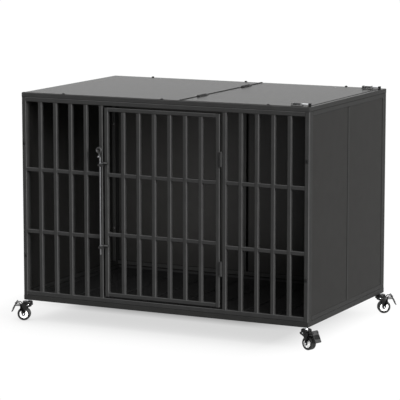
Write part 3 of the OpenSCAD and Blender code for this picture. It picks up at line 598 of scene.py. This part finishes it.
def facing(side):
    """Turn that points a shape's own +Z along a side's direction"""
    return Vector((0, 0, 1)).rotation_difference(Vector(side)).to_matrix().to_4x4()


def add_piece(name, bm, slot, body, replaces=(), look=None):
    """Turns a shape into a piece that rides on a body"""
    mesh = new_mesh(name, bm)
    mesh.shade_smooth()
    mesh.set_sharp_from_angle(angle=SHARP_ANGLE)
    mesh.materials.append(finish(look or slot))
    piece = new_object(name, mesh)
    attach(piece, body)
    if replaces:
        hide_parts(*replaces)


def solids(node):
    """Boxes of the separate solids in one of the crate's nodes"""
    bm = bmesh.new()
    bm.from_mesh(NODES[node].data)
    bmesh.ops.remove_doubles(bm, verts=bm.verts, dist=SAME_NODE_POINT)
    boxes = []
    left = set(bm.verts)
    while left:
        group = [left.pop()]
        for vert in group:
            near = {edge.other_vert(vert) for edge in vert.link_edges} & left
            left -= near
            group.extend(near)
        low = Vector([min(v.co[i] for v in group) for i in range(3)])
        high = Vector([max(v.co[i] for v in group) for i in range(3)])
        boxes.append((low, high))
    bm.free()
    return boxes


class CRATE_OT_coats(Operator):
    """Gives every solid of the crate its finish"""

    bl_idname = "crate.coats"
    bl_label = "Finishes"

    def execute(self, context):
        for node, piece in NODES.items():
            material = finish(LOOKS.get(node, SLOT_OF[node]))
            if not piece.material_slots:
                piece.data.materials.append(material)
            for slot in piece.material_slots:
                slot.material = material
        return {"FINISHED"}


# Welds

# Section of a bead as shares of its leg
BEAD = ((0, 0), (1, 0), (0.78, 0.42), (0.42, 0.78), (0, 1))
RIPPLE_SWELL = 1.12
WELD_TOUCH = 0.3 * MM
WELD_TRIM = 1.6 * MM


def bead_shape(leg, length, pitch):
    """Fillet weld along +Z in the corner between +X and +Y, with its ripples"""
    bm = bmesh.new()
    face = bm.faces.new([bm.verts.new((x * leg, y * leg, 0)) for x, y in BEAD])
    steps = 2 * max(2, round(length / pitch))
    for i in range(1, steps + 1):
        grown = bmesh.ops.extrude_face_region(bm, geom=[face])
        face = next(part for part in grown["geom"] if isinstance(part, bmesh.types.BMFace))
        swell = RIPPLE_SWELL if i % 2 else 1 / RIPPLE_SWELL
        bmesh.ops.scale(bm, vec=(swell, swell, 1), verts=face.verts)
        bmesh.ops.translate(bm, verts=face.verts, vec=(0, 0, length / steps))
    return closed(bm)


def bead_place(tube, other, end, edge, axes, leg):
    """Place and length of the bead along one edge of a tube's end on another tube, where one fits"""
    run, side, along = axes
    low = max(tube[0][along], other[0][along]) + WELD_TRIM
    high = min(tube[1][along], other[1][along]) - WELD_TRIM
    crosses = min(tube[1][side], other[1][side]) - max(tube[0][side], other[0][side])
    way = 1 if edge else -1
    room = way * (other[edge][side] - tube[edge][side])
    if min(high - low, crosses, room) < leg:
        return None
    corner, up, out, line = Vector(), Vector(), Vector(), Vector()
    corner[run], corner[side], corner[along] = tube[end][run], tube[edge][side], low
    up[run] = -1 if end else 1
    out[side] = way
    line[along] = 1
    return Matrix.Translation(corner) @ Matrix((up, out, line)).transposed().to_4x4(), high - low


def weld_places(tubes, leg):
    """Corners where the end of one tube meets the side of another: place and length of each bead"""
    places = []
    for tube, other in itertools.permutations(tubes, 2):
        run = max(range(3), key=lambda axis: tube[1][axis] - tube[0][axis])
        first, second = (axis for axis in range(3) if axis != run)
        for end in (0, 1):
            if abs(other[1 - end][run] - tube[end][run]) > WELD_TOUCH:
                continue
            for axes in ((run, first, second), (run, second, first)):
                places += [bead_place(tube, other, end, edge, axes, leg) for edge in (0, 1)]
    return [place for place in places if place]


def add_welds(name, nodes, body):
    sizes = hardware()
    tubes = [box for node in nodes for box in solids(node)]
    shapes = {}
    for place, length in weld_places(tubes, sizes.bead):
        shapes.setdefault(round(length, 5), []).append(place)
    bm = bmesh.new()
    for length, places in sorted(shapes.items()):
        stamp(bm, bead_shape(sizes.bead, length, sizes.bead_pitch), places)
    add_piece(name, bm, "tube_coat", body, look="weld_coat")


class CRATE_OT_welds(Operator):
    """Lays the weld beads in the corners of the grilles and the door"""

    bl_idname = "crate.welds"
    bl_label = "Weld Beads"

    def execute(self, context):
        rails = ["front_bottom_rail", "front_top_rail"]
        add_welds("front_weld_beads", ["front_left_grille", "front_right_grille", *rails], "crate")
        add_welds("door_weld_beads", ["door_frame", "door_bars"], "door")
        return {"FINISHED"}


# Bolts and screws

# Shares of a socket's width, then of its head's height
HEX_CORNER, CROWN = 1 / math.sqrt(3), 0.72
SOCKET_FLOOR, SOCKET_POINT = 0.4, 0.34
DOME_STEPS = 6
HEAD_SEAT = 0.4 * MM
HEAD_RIM = 0.5 * MM
WASHER_CHAMFER = 0.3 * MM
WASHER_T = 1 * MM
CORNER_HEAD_H = 4.2 * MM
CORNER_SHANK_R = 3 * MM
CORNER_SOLID_HEAD = 4 * MM
CORNER_CHAMFER = 0.6 * MM
ROOF_HEAD_H = 4.4 * MM
ROOF_SHANK_R = 2.5 * MM
ROOF_SOLID_HEAD = 3 * MM
ROOF_CHAMFER = 0.5 * MM
ROOF_SOCKET = 0.7
NUT_BORE_R, NUT_COLLAR_R = 3.05 * MM, 3.6 * MM
NUT_CHAMFER, NUT_CHAMFER_H, NUT_SHOULDER = 0.8 * MM, 0.5 * MM, 0.9 * MM
NUT_HEX, NUT_COLLAR_FOOT, NUT_COLLAR_TOP = 0.6, 0.66, 0.95
BODY_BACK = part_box("base_rear_rail")[1].y


def socket_head(head_r, head_h, socket, washer_r=0.0, washer_t=0.0):
    """Domed head on z = 0 with a hexagon socket, on a washer where one is asked for"""
    flat_r, socket_r = socket * CROWN, socket * HEX_CORNER
    shoulder = washer_t + HEAD_RIM
    profile = [(0, -HEAD_SEAT)]
    if washer_r:
        profile += [(washer_r, -HEAD_SEAT), (washer_r, washer_t - WASHER_CHAMFER)]
        profile += [(washer_r - WASHER_CHAMFER, washer_t)]
    profile += [(head_r, washer_t if washer_r else -HEAD_SEAT), (head_r, shoulder)]
    for i in range(1, DOME_STEPS):
        angle = math.pi / 2 * i / DOME_STEPS
        out = flat_r + (head_r - flat_r) * math.cos(angle)
        profile.append((out, shoulder + (head_h - shoulder) * math.sin(angle)))
    profile += [(flat_r, head_h), (socket_r, head_h)]
    profile += [(socket_r, head_h * SOCKET_FLOOR), (0, head_h * SOCKET_POINT)]
    bm = turned(profile, 24)
    for vert in bm.verts:
        if abs(vert.co.to_2d().length - socket_r) < 0.02 * MM:
            angle = math.atan2(vert.co.y, vert.co.x) % (math.pi / 3) - math.pi / 6
            vert.co.xy *= math.cos(math.pi / 6) / math.cos(angle)
    return bm


def shank(radius, length, chamfer):
    profile = [(0, -length), (radius - chamfer, -length), (radius, chamfer - length), (radius, 0), (0, 0)]
    return turned(profile, 16)


def lock_nut(height, corner_r):
    """Hexagon nut with a round collar, on z = 0"""
    hex_top, collar_foot, collar_top = height * NUT_HEX, height * NUT_COLLAR_FOOT, height * NUT_COLLAR_TOP
    profile = [(NUT_BORE_R, 0), (corner_r - NUT_CHAMFER, 0), (corner_r, NUT_CHAMFER_H)]
    profile += [(corner_r, hex_top), (corner_r - NUT_SHOULDER, collar_foot)]
    profile += [(NUT_COLLAR_R, collar_top), (NUT_BORE_R, height), (NUT_BORE_R, 0)]
    return turned(profile, 6)


class CRATE_OT_bolts(Operator):
    """Fits the socket head bolts, washers and nuts of the corners and the roof"""

    bl_idname = "crate.bolts"
    bl_label = "Bolts and Nuts"

    def execute(self, context):
        self.add_corner_bolts(hardware())
        self.add_corner_nuts()
        self.add_roof_bolts(hardware())
        return {"FINISHED"}

    def add_corner_bolts(self, sizes):
        bolts = bmesh.new()
        for low, high in solids("corner_bolts"):
            middle = (low + high) / 2
            way = -1 if middle.y < 0 else 1
            place = shift(middle.x, way * BODY_BACK, middle.z) @ facing((0, way, 0))
            washer_r = sizes.washer / 2
            head = socket_head(sizes.corner_head / 2, CORNER_HEAD_H, sizes.socket, washer_r, WASHER_T)
            stamp(bolts, head, [place])
            length = high.y - low.y - CORNER_SOLID_HEAD
            stamp(bolts, shank(CORNER_SHANK_R, length, CORNER_CHAMFER), [place])
        add_piece("corner_socket_bolts", bolts, "dark_steel", "crate", ["corner_bolts"], "matt_black")

    def add_corner_nuts(self):
        nuts = bmesh.new()
        for low, high in solids("corner_nuts"):
            middle = (low + high) / 2
            front = middle.y < 0
            place = shift(middle.x, low.y if front else high.y, middle.z)
            turn = facing((0, 1 if front else -1, 0)) @ Matrix.Rotation(math.pi / 6, 4, "Z")
            stamp(nuts, lock_nut(high.y - low.y, (high.z - low.z) / 2), [place @ turn])
        add_piece("corner_lock_nuts", nuts, "dark_steel", "crate", ["corner_nuts"])

    def add_roof_bolts(self, sizes):
        bolts = bmesh.new()
        for low, high in solids("roof_bolts"):
            middle = (low + high) / 2
            place = shift(middle.x, middle.y, high.z - ROOF_SOLID_HEAD)
            head = socket_head(sizes.roof_head / 2, ROOF_HEAD_H, sizes.socket * ROOF_SOCKET)
            stamp(bolts, head, [place])
            length = high.z - low.z - ROOF_SOLID_HEAD
            stamp(bolts, shank(ROOF_SHANK_R, length, ROOF_CHAMFER), [place])
        add_piece("roof_socket_bolts", bolts, "dark_steel", "crate", ["roof_bolts"], "matt_black")


# Door latch

KNOB_ROUND = 3.4 * MM
# Dished face of the knob: share of its radius, and depth in mm
KNOB_DISH = ((0.66, 0.2), (0.6, 1.4), (0.52, 2.8), (0, 3.2))
# Dark disc in the dish, painted shade of its hollow: share of the knob's radius, and height in mm
KNOB_SHADE_DISC = ((0, 0), (0.55, 0), (0.5, 0.5), (0.2, 0.2), (0, 0.2))
KNOB_SHADE_DISC_DEPTH = 3.1 * MM
# Half sections in mm: the knob's neck from its foot up, and a collar of the rod
NECK_FOOT = ((0, 0), (4.4, 0), (4.4, 3.2), (3.6, 4.2), (3.2, 8))
COLLAR = ((2.6, 0), (3.9, 0.3), (4.1, 1.4), (3.9, 5.2), (2.6, 5.6), (2.6, 0))
NECK_TOP_R = 4.2 * MM
NECK_SINK = 1.5 * MM
ROD_R = 3 * MM


class CRATE_OT_latch(Operator):
    """Moulds the latch knob, fits the collars of the latch rod and lays a dark disc in the knob's dish as painted
    shade
    """

    bl_idname = "crate.latch"
    bl_label = "Door Latch"

    def execute(self, context):
        low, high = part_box("latch_knob")
        middle = (low + high) / 2
        radius = (high.x - low.x) / 2
        centre = Vector((middle.x, middle.y, high.z - radius))
        self.add_grip(low, (high.y - low.y) / 2, radius, centre)
        self.add_collars(middle.x)
        # A dark disc paints the shade at the bottom of the knob's dish
        shade_disc = turned([(share * radius, rise * MM) for share, rise in KNOB_SHADE_DISC], 32)
        face = shift(middle.x, low.y + KNOB_SHADE_DISC_DEPTH, centre.z) @ facing((0, -1, 0))
        add_piece("latch_grip_insert", moved(shade_disc, face), "knob_plastic", "latch", look="matt_black")
        return {"FINISHED"}

    def add_grip(self, low, half, radius, centre):
        profile = [(0, half), *reversed(quarter_round(radius, half, KNOB_ROUND, 1))]
        profile += quarter_round(radius, -half, KNOB_ROUND, -1)
        profile += [(share * radius, depth * MM - half) for share, depth in KNOB_DISH]
        grip = bmesh.new()
        stamp(grip, turned(profile, 40), [Matrix.Translation(centre) @ facing((0, 1, 0))])
        neck = [(r, low.z + rise) for r, rise in in_metres(NECK_FOOT)]
        neck += [(NECK_TOP_R, centre.z - radius + NECK_SINK), (NECK_TOP_R, centre.z), (0, centre.z)]
        stamp(grip, turned(neck, 28), [shift(centre.x, centre.y)])
        add_piece("latch_grip", grip, "knob_plastic", "latch", ["latch_knob"])

    def add_collars(self, rod_x):
        collars = bmesh.new()
        rod_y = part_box("latch_rod")[1].y - ROD_R
        places = [shift(rod_x, rod_y, high.z) for low, high in solids("latch_guides")]
        stamp(collars, turned(in_metres(COLLAR), 28), places)
        add_piece("latch_collars", collars, "chrome", "latch", look="rod_steel")


# Roof, lid and tray

STRIP_MARGIN = 2 * MM
STRIP_GAP = 0.6 * MM
STRIP_EDGE = 0.3 * MM
PLATE_T = 1.5 * MM
PLATE_HOLE_X, PLATE_HOLE_Y = 12 * MM, 8.4 * MM
SCREW_H = 1.1 * MM
SCREW_SOCKET = 0.75
TRAY_T = 1.2 * MM
RIB_W, RIB_H = 16 * MM, 1.6 * MM
RIB_MARGIN = 60 * MM
RIB_ROUND, RIB_EDGE = 7.9 * MM, 1.1 * MM
RIB_SINK = 0.2 * MM


class CRATE_OT_lid_hardware(Operator):
    """Fits the screws of the lid bolts' plates and the strip along the roof's front edge"""

    bl_idname = "crate.lid_hardware"
    bl_label = "Roof and Lid Hardware"

    def execute(self, context):
        self.add_strip()
        radius = hardware().screw / 2
        screws = bmesh.new()
        for low, high in solids("lid_bolt_guides"):
            middle = (low + high) / 2
            places = [
                shift(middle.x + x, middle.y + y, low.z + PLATE_T)
                for x in (-PLATE_HOLE_X, PLATE_HOLE_X)
                for y in (-PLATE_HOLE_Y, PLATE_HOLE_Y)
            ]
            stamp(screws, socket_head(radius, SCREW_H, radius * SCREW_SOCKET), places)
        add_piece("lid_bolt_screws", screws, "dark_steel", "lid")
        return {"FINISHED"}

    def add_strip(self):
        rail_low, rail_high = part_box("top_front_rail")
        sheet_low, sheet_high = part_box("roof_sheet")
        length = rail_high.x - rail_low.x - 2 * STRIP_MARGIN
        depth = sheet_low.y - rail_low.y - STRIP_MARGIN
        strip = cut_plate(rectangle(length, depth), sheet_high.z - rail_high.z, edge=STRIP_EDGE)
        place = shift(0, sheet_low.y - STRIP_GAP - depth / 2, rail_high.z)
        add_piece("roof_edge_strip", moved(strip, place), "sheet_coat", "crate")


class CRATE_OT_tray(Operator):
    """Presses the ribs of the floor tray"""

    bl_idname = "crate.tray"
    bl_label = "Tray Ribs"

    def execute(self, context):
        low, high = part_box("floor_tray")
        count = hardware().rib_count
        pitch = (high.x - low.x) / (count + 1)
        rib = cut_plate(rectangle(RIB_W, high.y - low.y - 2 * RIB_MARGIN), RIB_H, RIB_ROUND, RIB_EDGE)
        floor_z = low.z + TRAY_T - RIB_SINK
        ribs = bmesh.new()
        stamp(ribs, rib, [shift(low.x + pitch * (i + 1), 0, floor_z) for i in range(count)])
        add_piece("tray_ribs", ribs, "tray_coat", "crate")
        return {"FINISHED"}


# Casters

STEM_PLAY = 0.1 * MM
HEAD_TOP_ROUND, HEAD_FOOT_ROUND = 4 * MM, 1.2 * MM
HEAD_FOOT_IN = 2 * MM
# Groove round the swivel head, from its wall and its underside in mm
HEAD_GROOVE = ((0, 3), (-1.6, 3.4), (-1.6, 4.6), (0, 5))
# Half sections in mm: the race under the head, and a rivet of the fork
RACE = ((7.2, 63.4), (11.6, 63.4), (11.6, 65.2), (7.2, 65.2), (7.2, 63.4))
RIVET = ((0, -0.4), (2.3, -0.4), (2.3, 0.3), (1.8, 0.9), (0.9, 1.2), (0, 1.3))
RIVET_X, RIVET_Z = -4 * MM, 62.6 * MM
# Outline of a fork cheek in mm, along the caster and upwards, before its corners are rounded
CHEEK = (
    (-18, 65.2), (-18, 58), (-6, 53), (1, 49.5), (6.3, 35.5), (6.3, 25.5), (8.5, 20.1),
    (14, 17.8), (19.5, 20.1), (21.7, 25.5), (21.7, 35.5), (27, 49.5), (27, 53), (20, 65.2),
)
CHEEK_ROUND, CHEEK_EDGE = 1.8 * MM, 0.5 * MM


def caster_axes(corner):
    """Places of the axes that a caster swivels and rolls about"""
    return (Vector(JOINTS[f"{corner}_{name}"]["pos_m"]) for name in ("swivel_turn", "wheel_spin"))


def caster_place(corner):
    """Place of a caster's own frame"""
    stem, axle = caster_axes(corner)
    turn = math.atan2(axle.y - stem.y, axle.x - stem.x)
    return shift(stem.x, stem.y) @ Matrix.Rotation(turn, 4, "Z")


def axle_place(corner):
    """Place of a wheel's own frame, with the axle along Z"""
    stem, axle = caster_axes(corner)
    trail = (axle - stem).to_2d().length
    return caster_place(corner) @ shift(trail, 0, axle.z) @ SIDEWAYS


class CRATE_OT_forks(Operator):
    """Presses the caster forks with their swivel heads"""

    bl_idname = "crate.forks"
    bl_label = "Caster Forks"

    def execute(self, context):
        size = casters()
        outside = size.cheek_in + size.cheek_t
        for corner in CORNERS:
            place = caster_place(corner)
            body = f"{corner}_swivel"
            fork = bmesh.new()
            stamp(fork, turned(self.head_profile(size), 40), [Matrix()])
            stamp(fork, turned(in_metres(RACE), 28), [Matrix()])
            cheek = cut_plate(in_metres(CHEEK), size.cheek_t, CHEEK_ROUND, CHEEK_EDGE)
            stamp(fork, cheek, [shift(y=-size.cheek_in) @ SIDEWAYS, shift(y=outside) @ SIDEWAYS])
            add_piece(f"{corner}_yoke", moved(fork, place), "caster_black", body, [f"{corner}_fork"])
            rivets = bmesh.new()
            across = place @ shift(RIVET_X, 0, RIVET_Z) @ SIDEWAYS
            stamp(rivets, turned(in_metres(RIVET), 20), [across @ end for end in both_ends(outside)])
            add_piece(f"{corner}_yoke_rivets", rivets, "chrome", body)
        return {"FINISHED"}

    def head_profile(self, size):
        radius, low, high = size.head_d / 2, size.head_z, size.head_z + size.head_h
        bore = size.stem_d / 2 + STEM_PLAY
        foot = quarter_round(radius, low, HEAD_FOOT_ROUND, -1)[1:]
        head = [(bore, low), (radius - HEAD_FOOT_IN, low), *reversed(foot)]
        head += [(radius + depth, low + rise) for depth, rise in in_metres(HEAD_GROOVE)]
        return head + [*quarter_round(radius, high, HEAD_TOP_ROUND, 1), (bore, high), (bore, low)]


AXLE_PLAY = 0.05 * MM
BOSS_R, BOSS_DRAFT, BOSS_PLAY = 6 * MM, 0.2 * MM, 0.4 * MM
RIM_PLAY = 0.15 * MM
# Side of the hub, from its rim and the tyre's side in mm
HUB_SIDE = ((-3.4, -2.6), (-2.9, -1.5), (-0.4, -1.5), (0, -2))
# Side of the tyre with its moulded ring, from its inside and its side in mm
TYRE_SIDE = ((0, -0.8), (0.8, 0), (2.4, 0), (2.7, -0.35), (3.2, -0.35), (3.5, 0))
TREAD_ROUND = 4 * MM
GROOVE_PLACE = 3.2 * MM
GROOVE_TOP, GROOVE_FLOOR = 0.7 * MM, 0.4 * MM
AXLE_REACH = 0.3 * MM
# Half sections in mm: a cap and a washer on the axle's ends
AXLE_CAP = ((0, 0), (3, 0), (3, 1.9), (2.4, 2.4), (0, 2.5))
AXLE_WASHER = ((3.1, 0), (5, 0), (5, 1.1), (4.4, 1.6), (3.1, 1.7), (3.1, 0))


def both_sides(half_profile):
    """Closed ring section from its upper half, mirrored down"""
    return [*half_profile, *((r, -z) for r, z in reversed(half_profile)), half_profile[0]]


class CRATE_OT_wheels(Operator):
    """Turns the hubs, axles and tyres of the casters"""

    bl_idname = "crate.wheels"
    bl_label = "Caster Wheels"

    def execute(self, context):
        size = casters()
        hub, tyre = self.hub_profile(size), self.tyre_profile(size)
        reach = size.cheek_in + size.cheek_t + AXLE_REACH
        for corner in CORNERS:
            place = axle_place(corner)
            body = f"{corner}_wheel"
            ends = [place @ end for end in both_ends(reach)]
            add_piece(f"{corner}_rim", moved(turned(hub, 56), place), "hub_plastic", body, [f"{corner}_hub"])
            tread = moved(turned(tyre, 56), place)
            add_piece(f"{corner}_tread", tread, "tyre_rubber", body, [f"{corner}_tyre"])
            axle = bmesh.new()
            stamp(axle, pin_shape(size.axle_d / 2, reach, 24), [place])
            stamp(axle, turned(in_metres(AXLE_CAP), 24), ends)
            add_piece(f"{corner}_axle", axle, "chrome", body)
            washers = bmesh.new()
            stamp(washers, turned(in_metres(AXLE_WASHER), 28), ends)
            add_piece(f"{corner}_axle_washers", washers, "caster_black", body)
        return {"FINISHED"}

    def hub_profile(self, size):
        rim, half = size.hub_d / 2, size.wheel_w / 2
        bore = size.axle_d / 2 + AXLE_PLAY
        boss = size.cheek_in - BOSS_PLAY
        side = [(rim + out, half + rise) for out, rise in in_metres(HUB_SIDE)]
        return both_sides([(bore, boss), (BOSS_R, boss), (BOSS_R + BOSS_DRAFT, side[0][1]), *side])

    def tyre_profile(self, size):
        half, grip = size.wheel_w / 2, size.wheel_d / 2
        inner = size.hub_d / 2 + RIM_PLAY
        wall = [(inner + out, half + rise) for out, rise in in_metres(TYRE_SIDE)]
        wall += reversed(quarter_round(grip, half, TREAD_ROUND, 1))
        floor_r = grip - size.groove
        wall += [(grip, GROOVE_PLACE + GROOVE_TOP), (floor_r, GROOVE_PLACE + GROOVE_FLOOR)]
        wall += [(floor_r, GROOVE_PLACE - GROOVE_FLOOR), (grip, GROOVE_PLACE - GROOVE_TOP)]
        return both_sides(wall)


# Outline of a brake arm with its open window in mm, along the caster and upwards
ARM = (
    (1, 55.5), (22, 56.5), (48, 57.5), (48, 60.7), (25.2, 60.7), (25.2, 61.9), (31.6, 68.3),
    (44.8, 68.3), (44.8, 60.8), (48, 60.8), (48, 71.5), (30, 71.5), (22, 63.5), (1, 63.5),
    (-2.4, 61.8), (-3, 59.5), (-2.4, 57.2),
)
ARM_T, ARM_PLAY = 2 * MM, 0.5 * MM
PIVOT_X, PIVOT_Z, PIVOT_R = 1 * MM, 59.5 * MM, 2 * MM
PIVOT_REACH = 0.3 * MM
# Half section of a cap on the pivot's ends in mm
PIVOT_CAP = ((0, 0), (3.5, 0), (3.4, 0.6), (2.4, 1.4), (1, 1.75), (0, 1.8))
SHOE_X, SHOE_Z = 24 * MM, 56.5 * MM
SHOE_L, SHOE_T, SHOE_PLAY, SHOE_EDGE = 6 * MM, 2 * MM, 0.4 * MM, 0.3 * MM
FOOT_X, FOOT_Z = 51.5 * MM, 54.5 * MM
FOOT_LEAN = math.radians(-26)
FOOT_W, FOOT_L, FOOT_T = 29 * MM, 47 * MM, 3.4 * MM
FOOT_ROUND, FOOT_EDGE = 3 * MM, 0.5 * MM
FOOT_BACK, FOOT_FACE = -1.9 * MM, 0.9 * MM
FOOT_RIB_W, FOOT_RIB_L, FOOT_RIB_H = 23 * MM, 2 * MM, 1 * MM
# Places of the ribs along the foot plate in mm
FOOT_RIBS = (-19, -15, 11, 15, 19)
GRIP_W, GRIP_L, GRIP_T = 28 * MM, 17 * MM, 1.3 * MM
GRIP_ROUND, GRIP_EDGE = 1.5 * MM, 0.4 * MM
GRIP_Y, GRIP_FACE = -2 * MM, 1.2 * MM
# Turn that stands a plate up, its width across the caster and its face forwards
STAND_UP = Matrix(((0, 0, 1, 0), (1, 0, 0, 0), (0, 1, 0, 0), (0, 0, 0, 1)))


class CRATE_OT_pedals(Operator):
    """Bends the brake pedals with their arms, pivot, ribbed foot plate and rubber grip"""

    bl_idname = "crate.pedals"
    bl_label = "Brake Pedals"

    def execute(self, context):
        size = casters()
        lean = shift(FOOT_X, 0, FOOT_Z) @ Matrix.Rotation(FOOT_LEAN, 4, "Y")
        for corner in CORNERS:
            place = caster_place(corner)
            foot_place = place @ lean @ STAND_UP
            body = f"{corner}_brake"
            arms = moved(self.arm_shape(size), place)
            add_piece(f"{corner}_brake_arms", arms, "pedal_steel", body, [f"{corner}_pedal"])
            foot = moved(self.foot_shape(), foot_place)
            add_piece(f"{corner}_foot_plate", foot, "caster_black", body, look="foot_coat")
            pad = cut_plate(rectangle(GRIP_W, GRIP_L), GRIP_T, GRIP_ROUND, GRIP_EDGE)
            grip = moved(pad, foot_place @ shift(y=GRIP_Y, z=GRIP_FACE))
            add_piece(f"{corner}_foot_grip", grip, "tyre_rubber", body, look="matt_black")
        return {"FINISHED"}

    def arm_shape(self, size):
        outer = size.cheek_in - ARM_PLAY
        reach = size.cheek_in + size.cheek_t + PIVOT_REACH
        arms = bmesh.new()
        arm = cut_plate(in_metres(ARM), ARM_T)
        stamp(arms, arm, [shift(y=outer) @ SIDEWAYS, shift(y=ARM_T - outer) @ SIDEWAYS])
        pivot = shift(PIVOT_X, 0, PIVOT_Z) @ SIDEWAYS
        stamp(arms, pin_shape(PIVOT_R, reach, 20), [pivot])
        stamp(arms, turned(in_metres(PIVOT_CAP), 20), [pivot @ end for end in both_ends(reach)])
        shoe = cut_plate(rectangle(SHOE_L, 2 * outer - SHOE_PLAY), SHOE_T, edge=SHOE_EDGE)
        stamp(arms, shoe, [shift(SHOE_X, 0, SHOE_Z)])
        return arms

    def foot_shape(self):
        foot = bmesh.new()
        plate = cut_plate(rectangle(FOOT_W, FOOT_L), FOOT_T, FOOT_ROUND, FOOT_EDGE)
        stamp(foot, plate, [shift(z=FOOT_BACK)])
        rib = cut_plate(rectangle(FOOT_RIB_W, FOOT_RIB_L), FOOT_RIB_H, edge=FOOT_EDGE)
        stamp(foot, rib, [shift(0, y * MM, FOOT_FACE) for y in FOOT_RIBS])
        return foot


# Stage, in metres

FLOOR_HALF = 60
FLOOR_GREY = 0.8
SHADE_REACH = 0.35
# Spans of the floor over which the shade ends on the right and its core ends on the right and in front
SHADE_RIGHT = (0.42, 0.62)
CORE_RIGHT = (0.2, 0.42)
CORE_FRONT = (-0.12, -0.02)
# Where each lamp shines from, and its spread in degrees
SUNS = {
    "overhead": ((0.3, -0.55, 1.0), 45),
    "side": ((0.9, -0.37, 0.3), 25),
    "back": ((-0.5, 0.8, 0.2), 40),
}
FILL_PLACE = (-0.34, -0.3, 0.38)
FILL_SIDE = 0.6
FILL_SPREAD = 75
SENSOR_MM = 36
VIEW_END = 200


class CRATE_OT_stage(Operator):
    """Sets the pale floor, the soft light and the camera of the product view"""

    bl_idname = "crate.stage"
    bl_label = "Stage"

    def execute(self, context):
        settings = context.scene.crate_stage
        context.scene.view_settings.view_transform = "Standard"
        self.add_floor(settings)
        self.add_world(context.scene, settings)
        for name, (source, spread) in SUNS.items():
            lamp = self.add_sun(f"{name}_light", source, spread, getattr(settings, name))
            lamp.visible_glossy = name != "back"
        self.add_fill(settings)
        self.add_camera(context.scene, settings)
        return {"FINISHED"}

    def add_floor(self, settings):
        bm = bmesh.new()
        bmesh.ops.create_grid(bm, x_segments=1, y_segments=1, size=FLOOR_HALF)
        mesh = new_mesh("floor", bm)
        mesh.materials.append(self.floor_material(settings))
        floor = new_object("floor", mesh)

    def floor_material(self, settings):
        """Pale floor that glows white but for the soft shade under the crate, which ends on its lit right"""
        material = bpy.data.materials.new("pale_floor")
        material.use_nodes = True
        nodes = Tree(material.node_tree)
        nodes.tree.nodes.remove(nodes.tree.nodes["Principled BSDF"])
        place = nodes.parts(nodes.add("ShaderNodeTexCoord").outputs["Object"])
        cover = nodes.add("ShaderNodeAmbientOcclusion", {"Distance": SHADE_REACH}).outputs["AO"]
        open_share = nodes.spread(place["X"], SHADE_RIGHT, cover, 1.0)
        shaded = settings.glow * (1 - settings.shadow)
        core = nodes.spread(place["X"], CORE_RIGHT, settings.glow * (1 - settings.core_shadow), shaded)
        darkest = nodes.spread(place["Y"], CORE_FRONT, shaded, core)
        level = nodes.spread(open_share, (0.0, 1.0), darkest, settings.glow)
        glow = nodes.add("ShaderNodeEmission", {"Strength": level}).outputs["Emission"]
        diffuse = nodes.add("ShaderNodeBsdfDiffuse", {"Color": grey(FLOOR_GREY)}).outputs["BSDF"]
        mix = nodes.add("ShaderNodeMixShader", {"Fac": nodes.seen_rays(), 1: diffuse, 2: glow})
        nodes.feed(mix.outputs["Shader"], nodes.tree.nodes["Material Output"].inputs["Surface"])
        return material

    def add_world(self, scene, settings):
        world = bpy.data.worlds.new("white_studio")
        scene.world = world
        world.use_nodes = True
        nodes = Tree(world.node_tree)
        background = nodes.tree.nodes["Background"].inputs
        background["Color"].default_value = grey(1)
        level = nodes.spread(nodes.seen_rays(), (0.0, 1.0), settings.ambient, 1.0)
        nodes.feed(level, background["Strength"])

    def add_sun(self, name, source, spread, strength):
        light = bpy.data.lights.new(name, "SUN")
        light.angle = math.radians(spread)
        light.energy = strength
        lamp = new_object(name, light)
        lamp.location = source
        lamp.rotation_euler = Vector(source).to_track_quat("Z", "Y").to_euler()
        return lamp

    def add_fill(self, settings):
        """Soft light behind the grille, aimed at the back wall"""
        light = bpy.data.lights.new("cabin_fill", "AREA")
        light.size = FILL_SIDE
        light.spread = math.radians(FILL_SPREAD)
        light.energy = settings.cabin
        lamp = new_object("cabin_fill", light)
        lamp.location = FILL_PLACE
        lamp.rotation_euler = (math.pi / 2, 0, 0)

    def add_camera(self, scene, settings):
        data = bpy.data.cameras.new("product_view")
        data.sensor_width = SENSOR_MM
        data.lens = settings.lens
        data.clip_end = VIEW_END
        camera = new_object("product_view", data)
        camera.location = settings.place
        camera.rotation_euler = (math.pi / 2 - settings.elevation, 0, settings.azimuth)
        scene.camera = camera


# Add-on

OPERATORS = (
    CRATE_OT_coats, CRATE_OT_welds, CRATE_OT_bolts, CRATE_OT_latch, CRATE_OT_lid_hardware,
    CRATE_OT_tray, CRATE_OT_forks, CRATE_OT_wheels, CRATE_OT_pedals, CRATE_OT_stage,
)


class CRATE_PT_dresser(Panel):
    """Sizes, colours and pieces of the crate"""

    bl_idname = "CRATE_PT_dresser"
    bl_label = "Dog Crate"
    bl_space_type = "VIEW_3D"
    bl_region_type = "UI"
    bl_category = "Crate"

    def draw(self, context):
        layout = self.layout
        for group, store in STORES.items():
            box = layout.box()
            for key in group.__annotations__:
                box.prop(getattr(context.scene, store), key)
        for operator in OPERATORS:
            layout.operator(operator.bl_idname)


CLASSES = (*STORES, *OPERATORS, CRATE_PT_dresser)


def register():
    for cls in CLASSES:
        bpy.utils.register_class(cls)
    for group, store in STORES.items():
        setattr(bpy.types.Scene, store, PointerProperty(type=group))


def unregister():
    for store in STORES.values():
        delattr(bpy.types.Scene, store)
    for cls in reversed(CLASSES):
        bpy.utils.unregister_class(cls)


def main():
    register()
    bpy.ops.crate.coats()
    bpy.ops.crate.welds()
    bpy.ops.crate.bolts()
    bpy.ops.crate.latch()
    bpy.ops.crate.lid_hardware()
    bpy.ops.crate.tray()
    bpy.ops.crate.forks()
    bpy.ops.crate.wheels()
    bpy.ops.crate.pedals()
    bpy.ops.crate.stage()


if __name__ == "__main__":
    main()
